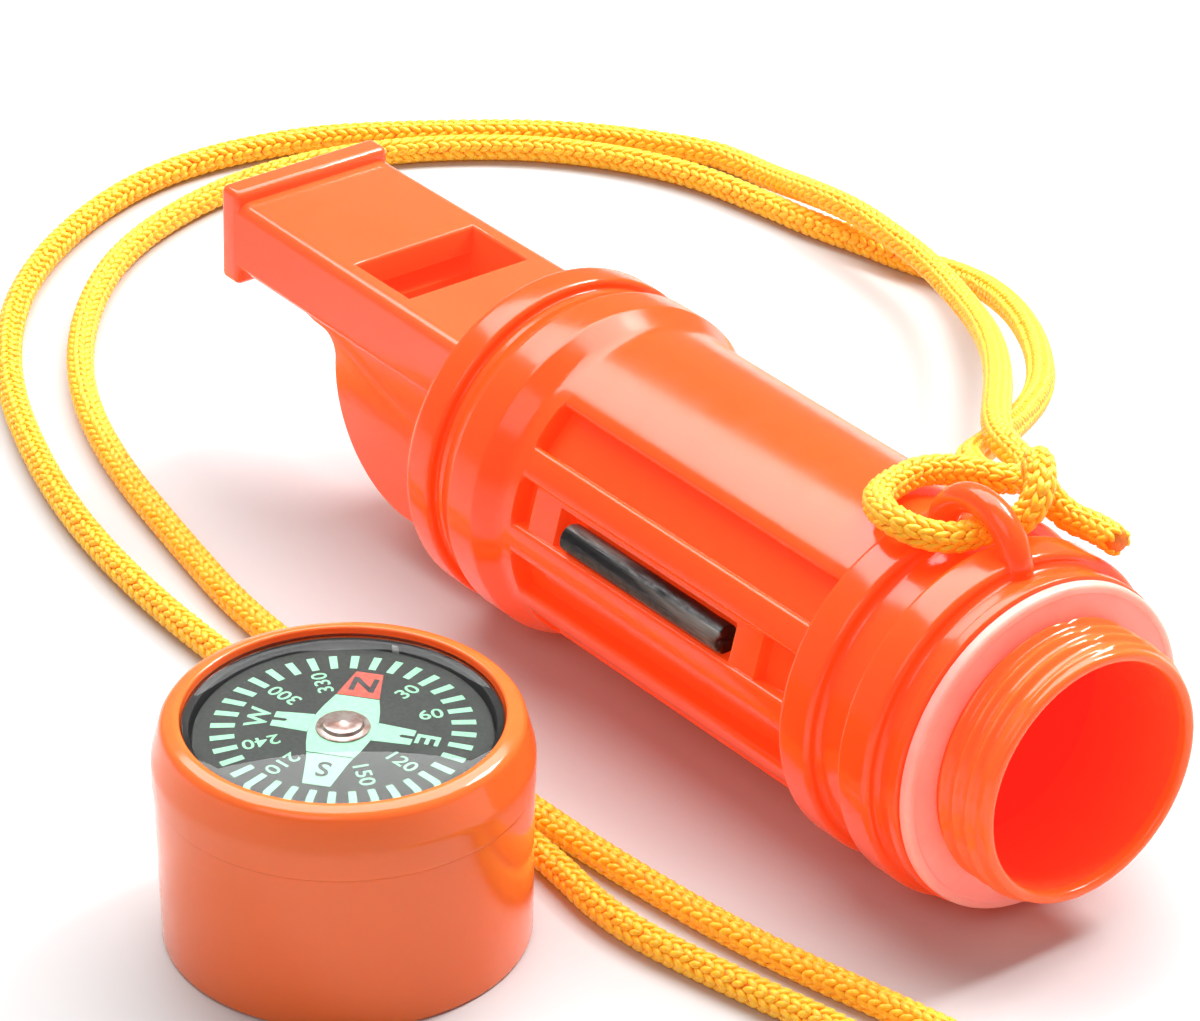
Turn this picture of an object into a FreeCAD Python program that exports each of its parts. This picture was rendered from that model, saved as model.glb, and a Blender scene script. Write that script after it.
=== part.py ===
"""Survival whistle: a small container with a whistle on its closed end, lying on its side,
its compass cap standing beside it, and a knitted lanyard tied to the eyelet.

Millimetres, +Z up. +X runs along the bottle towards its open neck. The origin is on the
surface that everything lies on, in the middle of the bottle and cap seen from above.
"""
import FreeCAD, Part
import math
import os

import Sketcher
from FreeCAD import Placement, Rotation, Vector

# Driving dimensions. On the bottle, "at" is a depth measured from the rim of the neck,
# and "up" is a height above the bottle's axis. On the cap, "z" is a height above its rim.
SIZES = {
    "mouth_x": 49.55,
    "axis_y": 20.75,
    "axis_z": 14.0,
    "roll": -1.5,
    "cap_x": 14.7,
    "cap_y": -20.75,
    # container
    "bore_r": 9.26,
    "neck_r": 10.6,
    "lip_r": 0.5,
    "seat_at": 6.3,
    "seat_r": 13.3,
    "seat_end": 7.3,
    "waist_r": 12.9,
    "ring_r": 14.0,
    "ring_half": 1.7,
    "ring_round": 0.95,
    "front_ring_at": 10.6,
    "rear_ring_at": 17.25,
    "barrel_r": 12.95,
    "shoulder_at": 54.0,
    "shoulder_top": 56.2,
    "shoulder_end": 59.2,
    "tube_end_r": 13.4,
    "tube_end": 61.3,
    "tube_end_band": 0.6,
    # flutes in the barrel
    "flute_start": 18.95,
    "flute_end": 52.6,
    "flute_floor": 11.45,
    "flute_half": 1.85,
    "flute_pitch": 28.8,
    "flute_corner": 0.3,
    # pad and pocket for the rod
    "pad_start": 23.5,
    "pad_end": 51.0,
    "pad_up": 12.45,
    "pocket_start": 26.6,
    "pocket_end": 47.7,
    "pocket_half": 1.5,
    "pocket_shift": -0.2,
    "rod_r": 1.2,
    "rod_start": 27.6,
    "rod_length": 18.9,
    "rod_centre": 12.0,
    "rod_drop": 0.5,
    # eyelet
    "eyelet_at": 13.5,
    "eyelet_up": 12.7,
    "eyelet_major": 4.2,
    "eyelet_minor": 1.2,
    "eyelet_leg": 1.2,
    # gasket
    "gasket_at": 5.3,
    "gasket_bore_r": 10.65,
    "gasket_r": 13.09,
    # whistle
    "plug_at": 57.3,
    "plug_r": 9.6,
    "groove_r": 13.2,
    "flange_at": 61.9,
    "flange_end": 65.2,
    "flange_round": 1.3,
    "box_end": 99.1,
    "box_half": 7.6,
    "box_half_root": 8.0,
    "box_top": 9.05,
    "box_bottom": 2.66,
    "box_round": 0.7,
    "overshoot": 5.0,
    "trim_back": 0.6,
    "rim_start": 96.65,
    "rim_half": 7.68,
    "rim_top": 10.03,
    "rim_bottom": 1.52,
    "rim_round": 0.55,
    "chamber_at": 73.3,
    "chamber_up": 0.2,
    "chamber_out_r": 10.0,
    "chamber_half": 7.55,
    "chamber_r": 7.8,
    "chamber_in_half": 6.2,
    "cover_r": 8.8,
    "window_start": 75.4,
    "window_end": 82.57,
    "window_half": 5.82,
    "window_low": 2.6,
    "windway_floor": 4.9,
    "windway_top": 6.7,
    "block_low": 3.5,
    "block_end": 97.6,
    # cap
    "cap_base_r": 13.67,
    "cap_step_r": 13.9,
    "cap_step_z": 13.05,
    "cap_step": 0.1,
    "cap_max_r": 14.0,
    "cap_shoulder_z": 14.4,
    "cap_top_z": 18.4,
    "cap_top_r": 12.5,
    "cap_round": 2.8,
    "cap_bore_r": 10.9,
    "cap_ceiling_z": 11.0,
    "seat_floor_z": 12.5,
    "compass_seat_r": 11.8,
    "mirror_seat_r": 10.3,
    "mirror_r": 10.2,
    "mirror_thick": 0.8,
    # compass
    "cup_r": 11.75,
    "cup_bore_r": 11.05,
    "cup_floor": 0.8,
    "cup_top_z": 16.9,
    "lens_edge_z": 17.95,
    "lens_top_z": 19.0,
    "lens_r": 11.7,
    "card_r": 10.7,
    "card_z": 15.9,
    "card_thick": 0.4,
    "hub_hole_r": 1.5,
    "magnet_r": 4.5,
    "magnet_thick": 1.0,
    "magnet_hole_r": 1.6,
    "jewel_r": 1.95,
    "jewel_brim": 0.2,
    "jewel_top": 0.35,
    "jewel_low_z": 15.5,
    "jewel_bore_r": 0.6,
    "jewel_bore_z": 16.0,
    "pin_r": 0.45,
    "pin_shoulder_z": 15.3,
    "pin_tip_z": 16.15,
    # lanyard
    "cord_d": 2.45,
}

TIE = [
    (40.9, 30.6, 26.2),
    (38.2, 30.8, 26.2),
    (35.5, 30.4, 25.9),
    (33.6, 29.7, 27.3),
    (33.2, 28.9, 29.5),
    (34.8, 27.7, 31.7),
    (37.4, 25.8, 31.4),
    (37.8, 24.1, 29.1),
    (36.1, 21.7, 28.4),
    (35.9, 19.2, 28.4),
    (34.3, 17.0, 28.8),
    (31.4, 16.1, 29.3),
    (28.5, 17.4, 28.9),
    (27.0, 20.2, 28.5),
    (26.4, 23.6, 28.3),
    (27.5, 26.8, 27.7),
    (29.5, 29.1, 26.9),
    (29.5, 32.1, 25.9),
    (27.1, 33.8, 25.4),
]
OUTER = [
    (22.9, 34.8, 25.2),
    (18.6, 38.0, 23.9),
    (11.6, 44.5, 20.4),
    (2.4, 52.9, 15.4),
    (-7.9, 61.7, 10.4),
    (-16.1, 67.7, 7.2),
    (-22.6, 71.4, 5.4),
    (-28.1, 73.8, 4.6),
    (-33.0, 75.3, 4.3),
    (-37.3, 75.9, 4.25),
    (-41.6, 76.4, 4.2),
    (-45.5, 76.5, 4.0),
    (-50.0, 76.6, 3.4),
    (-55.9, 77.7, 1.8),
    (-61.0, 77.9, 1.25),
    (-65.0, 76.9, 1.25),
    (-75.4, 69.6, 1.25),
    (-84.2, 58.0, 1.25),
    (-89.9, 48.4, 1.25),
    (-92.0, 35.8, 1.25),
    (-88.2, 23.6, 1.25),
    (-80.4, 12.2, 1.25),
    (-68.0, 2.9, 1.25),
    (-51.2, -3.7, 1.25),
    (-36.8, -6.8, 1.25),
    (-21.0, -7.9, 1.25),
    (-6.4, -7.2, 1.25),
    (6.0, -4.9, 1.25),
    (17.4, -4.7, 1.25),
    (27.8, -6.3, 1.25),
    (38.6, -4.3, 1.25),
    (49.4, -1.6, 1.25),
]
BIGHT = [
    (60.0, -0.6, 1.25),
    (70.6, -4.4, 1.25),
    (78.0, -13.2, 1.25),
    (83.4, -26.0, 1.25),
    (89.0, -33.8, 1.25),
    (95.6, -31.6, 1.25),
    (95.8, -23.6, 1.25),
    (91.2, -14.2, 1.25),
    (84.2, -4.0, 1.25),
    (73.4, 3.8, 1.25),
    (61.2, 5.4, 1.25),
]
INNER = [
    (49.8, 3.1, 1.25),
    (38.4, 0.3, 1.25),
    (26.8, -1.2, 1.25),
    (14.6, -2.0, 1.25),
    (1.8, -1.9, 1.25),
    (-10.4, -2.9, 1.25),
    (-23.6, -2.9, 1.25),
    (-37.0, -0.4, 1.25),
    (-51.0, 2.6, 1.25),
    (-63.0, 7.2, 1.25),
    (-73.4, 14.6, 1.25),
    (-81.6, 24.2, 1.25),
    (-85.6, 36.4, 1.25),
    (-85.0, 47.6, 1.25),
    (-80.8, 57.6, 1.25),
    (-73.6, 66.6, 1.25),
    (-63.2, 72.9, 1.25),
    (-52.8, 74.8, 1.25),
    (-49.2, 75.2, 1.25),
    (-45.6, 76.0, 1.25),
    (-42.4, 76.8, 1.25),
    (-39.3, 77.4, 1.25),
    (-36.7, 78.0, 1.25),
    (-34.2, 78.8, 1.35),
    (-30.6, 78.7, 2.0),
    (-25.5, 77.2, 3.4),
    (-18.0, 73.5, 5.6),
    (-9.5, 67.8, 8.4),
    (-1.1, 60.9, 11.6),
    (4.7, 55.1, 13.9),
    (8.9, 49.7, 15.9),
    (13.1, 43.9, 18.2),
    (17.1, 38.3, 20.8),
    (20.2, 34.0, 22.9),
    (23.3, 31.6, 24.2),
    (26.6, 30.7, 24.6),
]
LANYARD = [
    ("lanyard_tie", TIE),
    ("lanyard_outer_strand", OUTER),
    ("lanyard_bight", BIGHT),
    ("lanyard_inner_strand", INNER),
]

doc = FreeCAD.newDocument("survival_whistle")


def sheet():
    """The driving dimensions, one named cell each."""
    made = doc.addObject("Spreadsheet::Sheet", "Sizes")
    for row, (name, value) in enumerate(SIZES.items(), start=1):
        made.set("A%d" % row, name)
        made.set("B%d" % row, str(value))
        made.setAlias("B%d" % row, name)
    doc.recompute()
    return made


SHEET = sheet()


def size(name):
    return float(SHEET.get(name))


def cells(text):
    """An expression with every dimension's name turned into its cell."""
    words = []
    for word in text.replace("(", "( ").replace(")", " )").split():
        words.append("Sizes." + word if word in SIZES else word)
    return " ".join(words)


def bound(made, **texts):
    """Ties properties of an object to cells of the sheet."""
    for name, text in texts.items():
        made.setExpression(name, cells(text))
    return made


def lying():
    """Bottle frame: local +Z runs from the neck's rim into the bottle, local +X is up."""
    turned = Rotation(Vector(1, 0, 0), size("roll")) * Rotation(Vector(0, 1, 0), -90)
    return Placement(Vector(size("mouth_x"), size("axis_y"), size("axis_z")), turned)


def standing():
    """Cap frame: local +Z is up, the origin is in the middle of its open rim."""
    return Placement(Vector(size("cap_x"), size("cap_y"), 0), Rotation())


def origin_part(body, role):
    return [f for f in body.Origin.OriginFeatures if f.Role == role][0]


def fix_corner(sketch, index, radius, along):
    """Ties one corner of a profile to its radius and its place along the axis."""
    for kind, axis, text in (("DistanceX", -2, radius), ("DistanceY", -1, along)):
        if text == "0":
            sketch.addConstraint(Sketcher.Constraint("PointOnObject", index, 1, axis))
            continue
        start = sketch.Geometry[index].StartPoint
        value = start.x if kind == "DistanceX" else start.y
        rule = Sketcher.Constraint(kind, -1, 1, index, 1, value)
        number = sketch.addConstraint(rule)
        sketch.setExpression("Constraints[%d]" % number, cells(text))


def value_of(text):
    """The number that a profile's expression stands for now."""
    total, sign = 0.0, 1.0
    for word in text.split():
        if word in "+-":
            sign = 1.0 if word == "+" else -1.0
        else:
            total += sign * (size(word) if word in SIZES else float(word))
    return total


def turned_body(label, profile, place):
    """A body turned about its own Z axis from (radius, along) corners."""
    body = doc.addObject("PartDesign::Body", label)
    body.Label = label
    sketch = body.newObject("Sketcher::SketchObject", label + "_profile")
    sketch.AttachmentSupport = (origin_part(body, "XZ_Plane"), [""])
    sketch.MapMode = "FlatFace"
    corners = [Vector(value_of(r), value_of(a), 0) for r, a in profile]
    count = len(corners)
    for i in range(count):
        sketch.addGeometry(Part.LineSegment(corners[i], corners[(i + 1) % count]), False)
    for i in range(count):
        sketch.addConstraint(Sketcher.Constraint("Coincident", i, 2, (i + 1) % count, 1))
    for i, (radius, along) in enumerate(profile):
        fix_corner(sketch, i, radius, along)
    turn = body.newObject("PartDesign::Revolution", label + "_turn")
    turn.Profile = sketch
    turn.ReferenceAxis = (sketch, ["V_Axis"])
    turn.Angle = 360
    body.Placement = place
    doc.recompute()
    return body


def round_rims(body, name, radius, wanted):
    """Rounds the circular edges at the given (radius, along) places of a turned body."""
    base = body.Tip
    picked = []
    for number, edge in enumerate(base.Shape.Edges, start=1):
        curve = edge.Curve
        if not isinstance(curve, Part.Circle):
            continue
        for rim_r, along in wanted:
            near = abs(curve.Radius - rim_r) < 1e-4
            if near and abs(curve.Center.z - along) < 1e-4:
                picked.append("Edge%d" % number)
    fillet = body.newObject("PartDesign::Fillet", name)
    fillet.Base = (base, picked)
    fillet.setExpression("Radius", cells(radius))
    doc.recompute()
    return fillet


def helper(kind, name, place=None, **texts):
    """A primitive that a later boolean uses up."""
    made = doc.addObject(kind, name)
    bound(made, **texts)
    if place is not None:
        made.Placement = place
    return made


def block(name, along, up, across):
    """A box in the bottle frame: (start, end) along, (low, high) up, (left, right) across."""
    texts = {
        "Height": "%s - ( %s )" % (along[1], along[0]),
        "Length": "%s - ( %s )" % (up[1], up[0]),
        "Width": "%s - ( %s )" % (across[1], across[0]),
    }
    made = helper("Part::Box", name, **texts)
    made.setExpression("Placement.Base.z", cells(along[0]))
    made.setExpression("Placement.Base.x", cells(up[0]))
    made.setExpression("Placement.Base.y", cells(across[0]))
    return made


def rounded(name, source, radius, picks):
    """Rounds the edges of a helper that picks() accepts."""
    doc.recompute()
    edges = [n for n, e in enumerate(source.Shape.Edges, start=1) if picks(e)]
    made = doc.addObject("Part::Fillet", name)
    made.Base = source
    made.Edges = [(n, size(radius), size(radius)) for n in edges]
    doc.recompute()
    return made


def joined(name, shapes):
    made = doc.addObject("Part::MultiFuse", name)
    made.Shapes = shapes
    return made


def cut(name, base, tool):
    made = doc.addObject("Part::Cut", name)
    made.Base = base
    made.Tool = tool
    return made


def named(made, label, place=None):
    """Gives a finished sub-part its file name and its place."""
    made.Label = label
    if place is not None:
        made.Placement = place
    return made


def turned_about_axis(made, angle):
    """Turns a helper about the bottle's axis, from straight up towards the rod's side."""
    spin = Placement(Vector(), Rotation(Vector(0, 0, 1), angle))
    made.Placement = spin.multiply(made.Placement)
    return made


def flute_tool(name, start, end, floor, half, shift="0"):
    """A round-cornered cutter standing on a flute's floor, straight above the axis."""
    across = ("%s - %s" % (shift, half), "%s + %s" % (shift, half))
    raw = block(name + "_block", (start, end), (floor, "ring_r + overshoot"), across)
    doc.recompute()

    def upright(edge):
        low, high = edge.Vertexes[0].Point, edge.Vertexes[-1].Point
        return abs(abs(high.x - low.x) - edge.Length) < 1e-6

    return rounded(name, raw, "flute_corner", upright)


def barrel_tools():
    """Eight flutes, four on each side. The rod's flute keeps a pad with a pocket in it."""
    tools = []
    for side in (1, -1):
        for step in (-1.5, -0.5, 0.5, 1.5):
            angle = side * (90 - step * size("flute_pitch"))
            name = "flute_%d" % len(tools)
            if side == 1 and step == 0.5:
                parts = [
                    flute_tool(name + "_a", "flute_start", "pad_start", "flute_floor", "flute_half"),
                    flute_tool(name + "_b", "flute_start", "flute_end", "pad_up", "flute_half"),
                    flute_tool(name + "_c", "pad_end", "flute_end", "flute_floor", "flute_half"),
                    flute_tool(
                        name + "_d",
                        "pocket_start",
                        "pocket_end",
                        "rod_centre - rod_r",
                        "pocket_half",
                        "pocket_shift",
                    ),
                ]
            else:
                parts = [flute_tool(name, "flute_start", "flute_end", "flute_floor", "flute_half")]
            tools += [turned_about_axis(p, -angle) for p in parts]
    return tools


def tube_profile():
    front, rear = "front_ring_at", "rear_ring_at"
    return [
        ("bore_r", "0"),
        ("neck_r", "0"),
        ("neck_r", "seat_at"),
        ("seat_r", "seat_at"),
        ("seat_r", "seat_end"),
        ("waist_r", "seat_end"),
        ("waist_r", front + " - ring_half"),
        ("ring_r", front + " - ring_half"),
        ("ring_r", front + " + ring_half"),
        ("waist_r", front + " + ring_half"),
        ("waist_r", rear + " - ring_half"),
        ("ring_r", rear + " - ring_half"),
        ("ring_r", rear + " + ring_half"),
        ("barrel_r", rear + " + ring_half"),
        ("barrel_r", "shoulder_at"),
        ("ring_r", "shoulder_top"),
        ("ring_r", "shoulder_end"),
        ("tube_end_r", "tube_end - tube_end_band"),
        ("tube_end_r", "tube_end"),
        ("plug_r", "tube_end"),
        ("plug_r", "plug_at"),
        ("bore_r", "plug_at"),
    ]


def container():
    """Tube, collar rings, neck and eyelet, one moulding."""
    tube = turned_body("container_tube", tube_profile(), Placement())
    half = size("ring_half")
    rims = []
    for centre in (size("front_ring_at"), size("rear_ring_at")):
        rims += [(size("ring_r"), centre - half), (size("ring_r"), centre + half)]
    round_rims(tube, "ring_rounding", "ring_round", rims)
    round_rims(tube, "lip_rounding", "lip_r", [(size("neck_r"), 0), (size("bore_r"), 0)])
    fluted = cut("fluted_tube", tube, joined("flute_tools", barrel_tools()))
    arch = helper(
        "Part::Torus", "eyelet_arch", Radius1="eyelet_major", Radius2="eyelet_minor"
    )
    arch.Angle3 = 180
    upright = Rotation(Vector(1, 0, 0), 90) * Rotation(Vector(0, 0, 1), -90)
    arch.Placement = Placement(Vector(size("eyelet_up"), 0, size("eyelet_at")), upright)
    legs = []
    for name, side in (("eyelet_leg_front", " - eyelet_major"), ("eyelet_leg_rear", " + eyelet_major")):
        leg = helper("Part::Cylinder", name, Radius="eyelet_minor", Height="eyelet_leg")
        leg.Placement = Placement(Vector(), Rotation(Vector(0, 1, 0), 90))
        leg.setExpression("Placement.Base.x", cells("eyelet_up - eyelet_leg"))
        leg.setExpression("Placement.Base.z", cells("eyelet_at" + side))
        legs.append(leg)
    whole = joined("container_whole", [fluted, arch] + legs)
    return named(whole, "container_barrel", lying())


def gasket():
    profile = [
        ("gasket_bore_r", "gasket_at"),
        ("gasket_r", "gasket_at"),
        ("gasket_r", "seat_at"),
        ("gasket_bore_r", "seat_at"),
    ]
    return turned_body("neck_gasket", profile, lying())


def rod():
    """The fire-starting rod, resting against the lower wall of its pocket."""
    made = helper("Part::Cylinder", "ferro_rod", Radius="rod_r", Height="rod_length")
    made.setExpression("Placement.Base.x", cells("rod_centre"))
    made.setExpression("Placement.Base.y", cells("0 - rod_drop"))
    made.setExpression("Placement.Base.z", cells("rod_start"))
    doc.recompute()
    angle = 90 - 0.5 * size("flute_pitch")
    turned_about_axis(made, -angle)
    spot = lying().multiply(made.Placement)
    for axis in "xyz":
        made.setExpression("Placement.Base." + axis, None)
    return named(made, "ferro_rod", spot)


def round_bar(name, radius, half):
    """A cylinder across the whistle at the chamber's centre."""
    bar = helper("Part::Cylinder", name, Radius=radius, Height="2 * " + half)
    bar.Placement = Placement(Vector(), Rotation(Vector(1, 0, 0), -90))
    bar.setExpression("Placement.Base.x", cells("chamber_up"))
    bar.setExpression("Placement.Base.y", cells("0 - " + half))
    bar.setExpression("Placement.Base.z", cells("chamber_at"))
    return bar


def disc(name, radius, start, end):
    made = helper("Part::Cylinder", name, Radius=radius, Height="%s - %s" % (end, start))
    made.setExpression("Placement.Base.z", cells(start))
    return made


def mouthpiece_box():
    """The long box of the whistle, a little wider at its root than at its end."""
    made = doc.addObject("Part::Wedge", "mouthpiece_box")
    texts = {
        "Xmin": "box_bottom",
        "Xmax": "box_top",
        "X2min": "box_bottom",
        "X2max": "box_top",
        "Zmin": "0 - box_half_root",
        "Zmax": "box_half_root",
        "Z2min": "0 - box_half",
        "Z2max": "box_half",
        "Ymin": "flange_at",
        "Ymax": "box_end",
    }
    made.Xmin, made.Xmax, made.X2min, made.X2max = 2.0, 9.0, 2.0, 9.0
    made.Zmin, made.Zmax, made.Z2min, made.Z2max = -8.0, 8.0, -7.0, 7.0
    made.Ymin, made.Ymax = 60.0, 99.0
    bound(made, **texts)
    made.Placement = Placement(Vector(), Rotation(Vector(1, 0, 0), 90))
    return made


def along_axis(edge):
    """True for a straight edge that runs mostly along the bottle."""
    low, high = edge.Vertexes[0].Point, edge.Vertexes[-1].Point
    return abs(high.z - low.z) > 0.9 * edge.Length


def whistle():
    """Plug, end flange, chamber and mouthpiece, hollowed out."""
    plug = disc("plug", "plug_r", "plug_at", "flange_at")
    groove = disc("flange_groove", "groove_r", "tube_end", "flange_at")
    flange = rounded("flange", disc("flange_disc", "ring_r", "flange_at", "flange_end"),
                     "flange_round", lambda e: isinstance(e.Curve, Part.Circle))
    box = rounded("box", mouthpiece_box(), "box_round", along_axis)
    rim = block("rim_block", ("rim_start", "box_end"), ("rim_bottom", "rim_top"),
                ("0 - rim_half", "rim_half"))
    rim = rounded("rim", rim, "rim_round", lambda e: True)
    belly = round_bar("belly", "chamber_out_r", "chamber_half")
    above = block("above_box", ("flange_at", "rim_start"), ("box_top", "box_top + overshoot"),
                  ("0 - ring_r", "ring_r"))
    solid = joined("whistle_solid", [plug, groove, flange, box, rim, cut("belly_cut", belly, above)])
    hollows = [
        round_bar("chamber", "chamber_r", "chamber_in_half"),
        block("window", ("window_start", "window_end"), ("window_low", "rim_top + overshoot"),
              ("0 - window_half", "window_half")),
        block("windway", ("window_end - trim_back", "box_end + overshoot"), ("block_low", "windway_top"),
              ("0 - window_half", "window_half")),
        cover_disc("cover_seat"),
    ]
    made = cut("whistle_cut", solid, joined("whistle_hollows", hollows))
    return named(made, "whistle_body", lying())


def cover_disc(name):
    """The plate that closes the chamber on the side away from the rod."""
    made = helper("Part::Cylinder", name, Radius="cover_r",
                  Height="chamber_half - chamber_in_half")
    made.Placement = Placement(Vector(), Rotation(Vector(1, 0, 0), -90))
    made.setExpression("Placement.Base.x", cells("chamber_up"))
    made.setExpression("Placement.Base.y", cells("chamber_in_half"))
    made.setExpression("Placement.Base.z", cells("chamber_at"))
    return made


def chamber_cover():
    """Side plate, trimmed where the top of the box passes over it."""
    plate = cover_disc("cover_plate")
    above = block("above_cover", ("flange_at", "rim_start"), ("box_top - trim_back", "box_top + overshoot"),
                  ("0 - ring_r", "ring_r"))
    return named(cut("cover_cut", plate, above), "chamber_cover", lying())


def windway_block():
    """Insert that leaves only the thin windway above it."""
    made = block("windway_insert", ("window_end", "block_end"), ("block_low", "windway_floor"),
                 ("0 - window_half", "window_half"))
    doc.recompute()
    spot = lying().multiply(made.Placement)
    for axis in "xyz":
        made.setExpression("Placement.Base." + axis, None)
    return named(made, "windway_block", spot)


def cap():
    profile = [
        ("cap_bore_r", "0"),
        ("cap_base_r", "0"),
        ("cap_step_r", "cap_step_z"),
        ("cap_max_r", "cap_step_z + cap_step"),
        ("cap_max_r", "cap_shoulder_z"),
        ("cap_top_r", "cap_top_z"),
        ("compass_seat_r", "cap_top_z"),
        ("compass_seat_r", "seat_floor_z"),
        ("0", "seat_floor_z"),
        ("0", "cap_ceiling_z"),
        ("mirror_seat_r", "cap_ceiling_z"),
        ("mirror_seat_r", "cap_ceiling_z - mirror_thick"),
        ("cap_bore_r", "cap_ceiling_z - mirror_thick"),
    ]
    made = turned_body("cap_shell", profile, standing())
    shoulder = [(size("cap_max_r"), size("cap_shoulder_z"))]
    round_rims(made, "shoulder_rounding", "cap_round", shoulder)
    return made


def mirror():
    profile = [
        ("0", "cap_ceiling_z - mirror_thick"),
        ("mirror_r", "cap_ceiling_z - mirror_thick"),
        ("mirror_r", "cap_ceiling_z"),
        ("0", "cap_ceiling_z"),
    ]
    return turned_body("signal_mirror", profile, standing())


def compass_cup():
    profile = [
        ("0", "seat_floor_z"),
        ("cup_r", "seat_floor_z"),
        ("cup_r", "cup_top_z"),
        ("cup_bore_r", "cup_top_z"),
        ("cup_bore_r", "seat_floor_z + cup_floor"),
        ("0", "seat_floor_z + cup_floor"),
    ]
    return turned_body("compass_cup", profile, standing())


def compass_lens():
    """Flat underneath, domed on top."""
    edge = helper("Part::Cylinder", "lens_edge", Radius="lens_r", Height="lens_top_z - cup_top_z")
    edge.setExpression("Placement.Base.z", cells("cup_top_z"))
    rise = size("lens_top_z") - size("lens_edge_z")
    dome_r = (size("lens_r") ** 2 + rise ** 2) / (2 * rise)
    dome = doc.addObject("Part::Sphere", "lens_dome")
    dome.Radius = dome_r
    square = "lens_r * Sizes.lens_r"
    rise_text = "( lens_top_z - lens_edge_z )"
    radius_text = "( %s + %s * %s ) / ( 2 * %s )" % (square, rise_text, rise_text, rise_text)
    dome.setExpression("Radius", cells(radius_text))
    dome.setExpression("Placement.Base.z", cells("lens_top_z - " + radius_text))
    made = doc.addObject("Part::Common", "lens_shape")
    made.Base = edge
    made.Tool = dome
    return named(made, "compass_lens", standing())


def pivot():
    """Needle point that carries the card, ending inside the bearing cup."""
    floor = "seat_floor_z + cup_floor"
    profile = [
        ("0", floor),
        ("pin_r", floor),
        ("pin_r", "pin_shoulder_z"),
        ("0", "pin_tip_z"),
    ]
    return turned_body("compass_pivot", profile, standing())


def card():
    profile = [
        ("hub_hole_r", "card_z"),
        ("card_r", "card_z"),
        ("card_r", "card_z + card_thick"),
        ("hub_hole_r", "card_z + card_thick"),
    ]
    return turned_body("compass_card", profile, standing())


def magnet():
    profile = [
        ("magnet_hole_r", "card_z - magnet_thick"),
        ("magnet_r", "card_z - magnet_thick"),
        ("magnet_r", "card_z"),
        ("magnet_hole_r", "card_z"),
    ]
    return turned_body("card_magnet", profile, standing())


def jewel():
    """Bearing cup: a collar in the card's hole under a low cap, bored from below."""
    top = "card_z + card_thick"
    profile = [
        ("jewel_bore_r", "jewel_low_z"),
        ("hub_hole_r", "jewel_low_z"),
        ("hub_hole_r", top),
        ("jewel_r", top),
        ("jewel_r", top + " + jewel_brim"),
        ("0", top + " + jewel_top"),
        ("0", top),
        ("jewel_bore_r", "jewel_bore_z"),
    ]
    return turned_body("jewel_cap", profile, standing())


def corner_arc(before, corner, after):
    """Tangent points and middle of the arc that rounds one corner of the cord's route."""
    back, on = before - corner, after - corner
    shorter = min(back.Length, on.Length)
    back.normalize()
    on.normalize()
    half_turn = (math.pi - back.getAngle(on)) / 2
    reach = 0.45 * shorter
    radius = reach / math.tan(half_turn)
    inward = (back + on).normalize()
    middle = corner + inward * (radius / math.cos(half_turn) - radius)
    return corner + back * reach, middle, corner + on * reach, radius


def cord_path(points):
    """Straight runs joined by tangent arcs, in one wire, and the arcs' radii."""
    edges, radii = [], []
    here = points[0]
    for i in range(1, len(points) - 1):
        start, middle, end, radius = corner_arc(points[i - 1], points[i], points[i + 1])
        edges.append(Part.LineSegment(here, start).toShape())
        edges.append(Part.Arc(start, middle, end).toShape())
        radii.append(radius)
        here = end
    edges.append(Part.LineSegment(here, points[-1]).toShape())
    return Part.Wire(edges), radii


def cord_node(label, points):
    """One stretch of the lanyard: a round section swept along its path."""
    path, radii = cord_path(points)
    spine = doc.addObject("Part::Feature", label + "_path")
    spine.Shape = path
    section = helper("Part::Circle", label + "_section", Radius="cord_d / 2")
    along = points[1] - points[0]
    section.Placement = Placement(points[0], Rotation(Vector(0, 0, 1), along))
    made = doc.addObject("Part::Sweep", label)
    made.Sections = [section]
    made.Spine = (spine, ["Edge%d" % (n + 1) for n in range(len(path.Edges))])
    made.Solid = True
    made.Frenet = False
    doc.recompute()
    expected = math.pi * size("cord_d") ** 2 / 4 * path.Length
    report = "%s: length %.1f, tightest radius %.2f, volume %.4f of section x length"
    print(report % (label, path.Length, min(radii), made.Shape.Volume / expected))
    return named(made, label), path.Length


def lanyard():
    """The whole cord, split half way along the run between two stretches."""
    stretches = [[Vector(*p) for p in points] for _, points in LANYARD]
    for first, second in zip(stretches, stretches[1:]):
        middle = (first[-1] + second[0]) / 2
        first.append(middle)
        second.insert(0, middle)
    made = [cord_node(name, points) for (name, _), points in zip(LANYARD, stretches)]
    print("lanyard: whole length %.1f" % sum(length for _, length in made))
    return [node for node, _ in made]


def check(parts):
    """Stops before anything is written if an object failed or a sub-part isn't sound."""
    doc.recompute()
    for item in doc.Objects:
        if "Invalid" in item.State or "Error" in item.State:
            raise RuntimeError("%s: %s" % (item.Name, item.State))
    for item in parts:
        if item.Shape.isNull() or not item.Shape.isValid():
            raise RuntimeError("%s has no sound shape" % item.Label)
        box = item.Shape.BoundBox
        print("%-22s %9.2f mm3  z %.2f to %.2f" % (item.Label, item.Shape.Volume, box.ZMin, box.ZMax))


def main():
    parts = [
        container(),
        gasket(),
        rod(),
        whistle(),
        chamber_cover(),
        windway_block(),
        cap(),
        mirror(),
        compass_cup(),
        compass_lens(),
        pivot(),
        card(),
        magnet(),
        jewel(),
    ]
    parts += lanyard()
    check(parts)
    os.makedirs("parts", exist_ok=True)
    for item in parts:
        item.Shape.exportStep("parts/%s.step" % item.Label)


main()
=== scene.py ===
"""The looks of a survival whistle: knitted lanyard, fluted container, whistle, cap and compass.

Lengths are in millimetres while a shape is worked out, and metres once it is a mesh.
"""

import math

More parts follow.
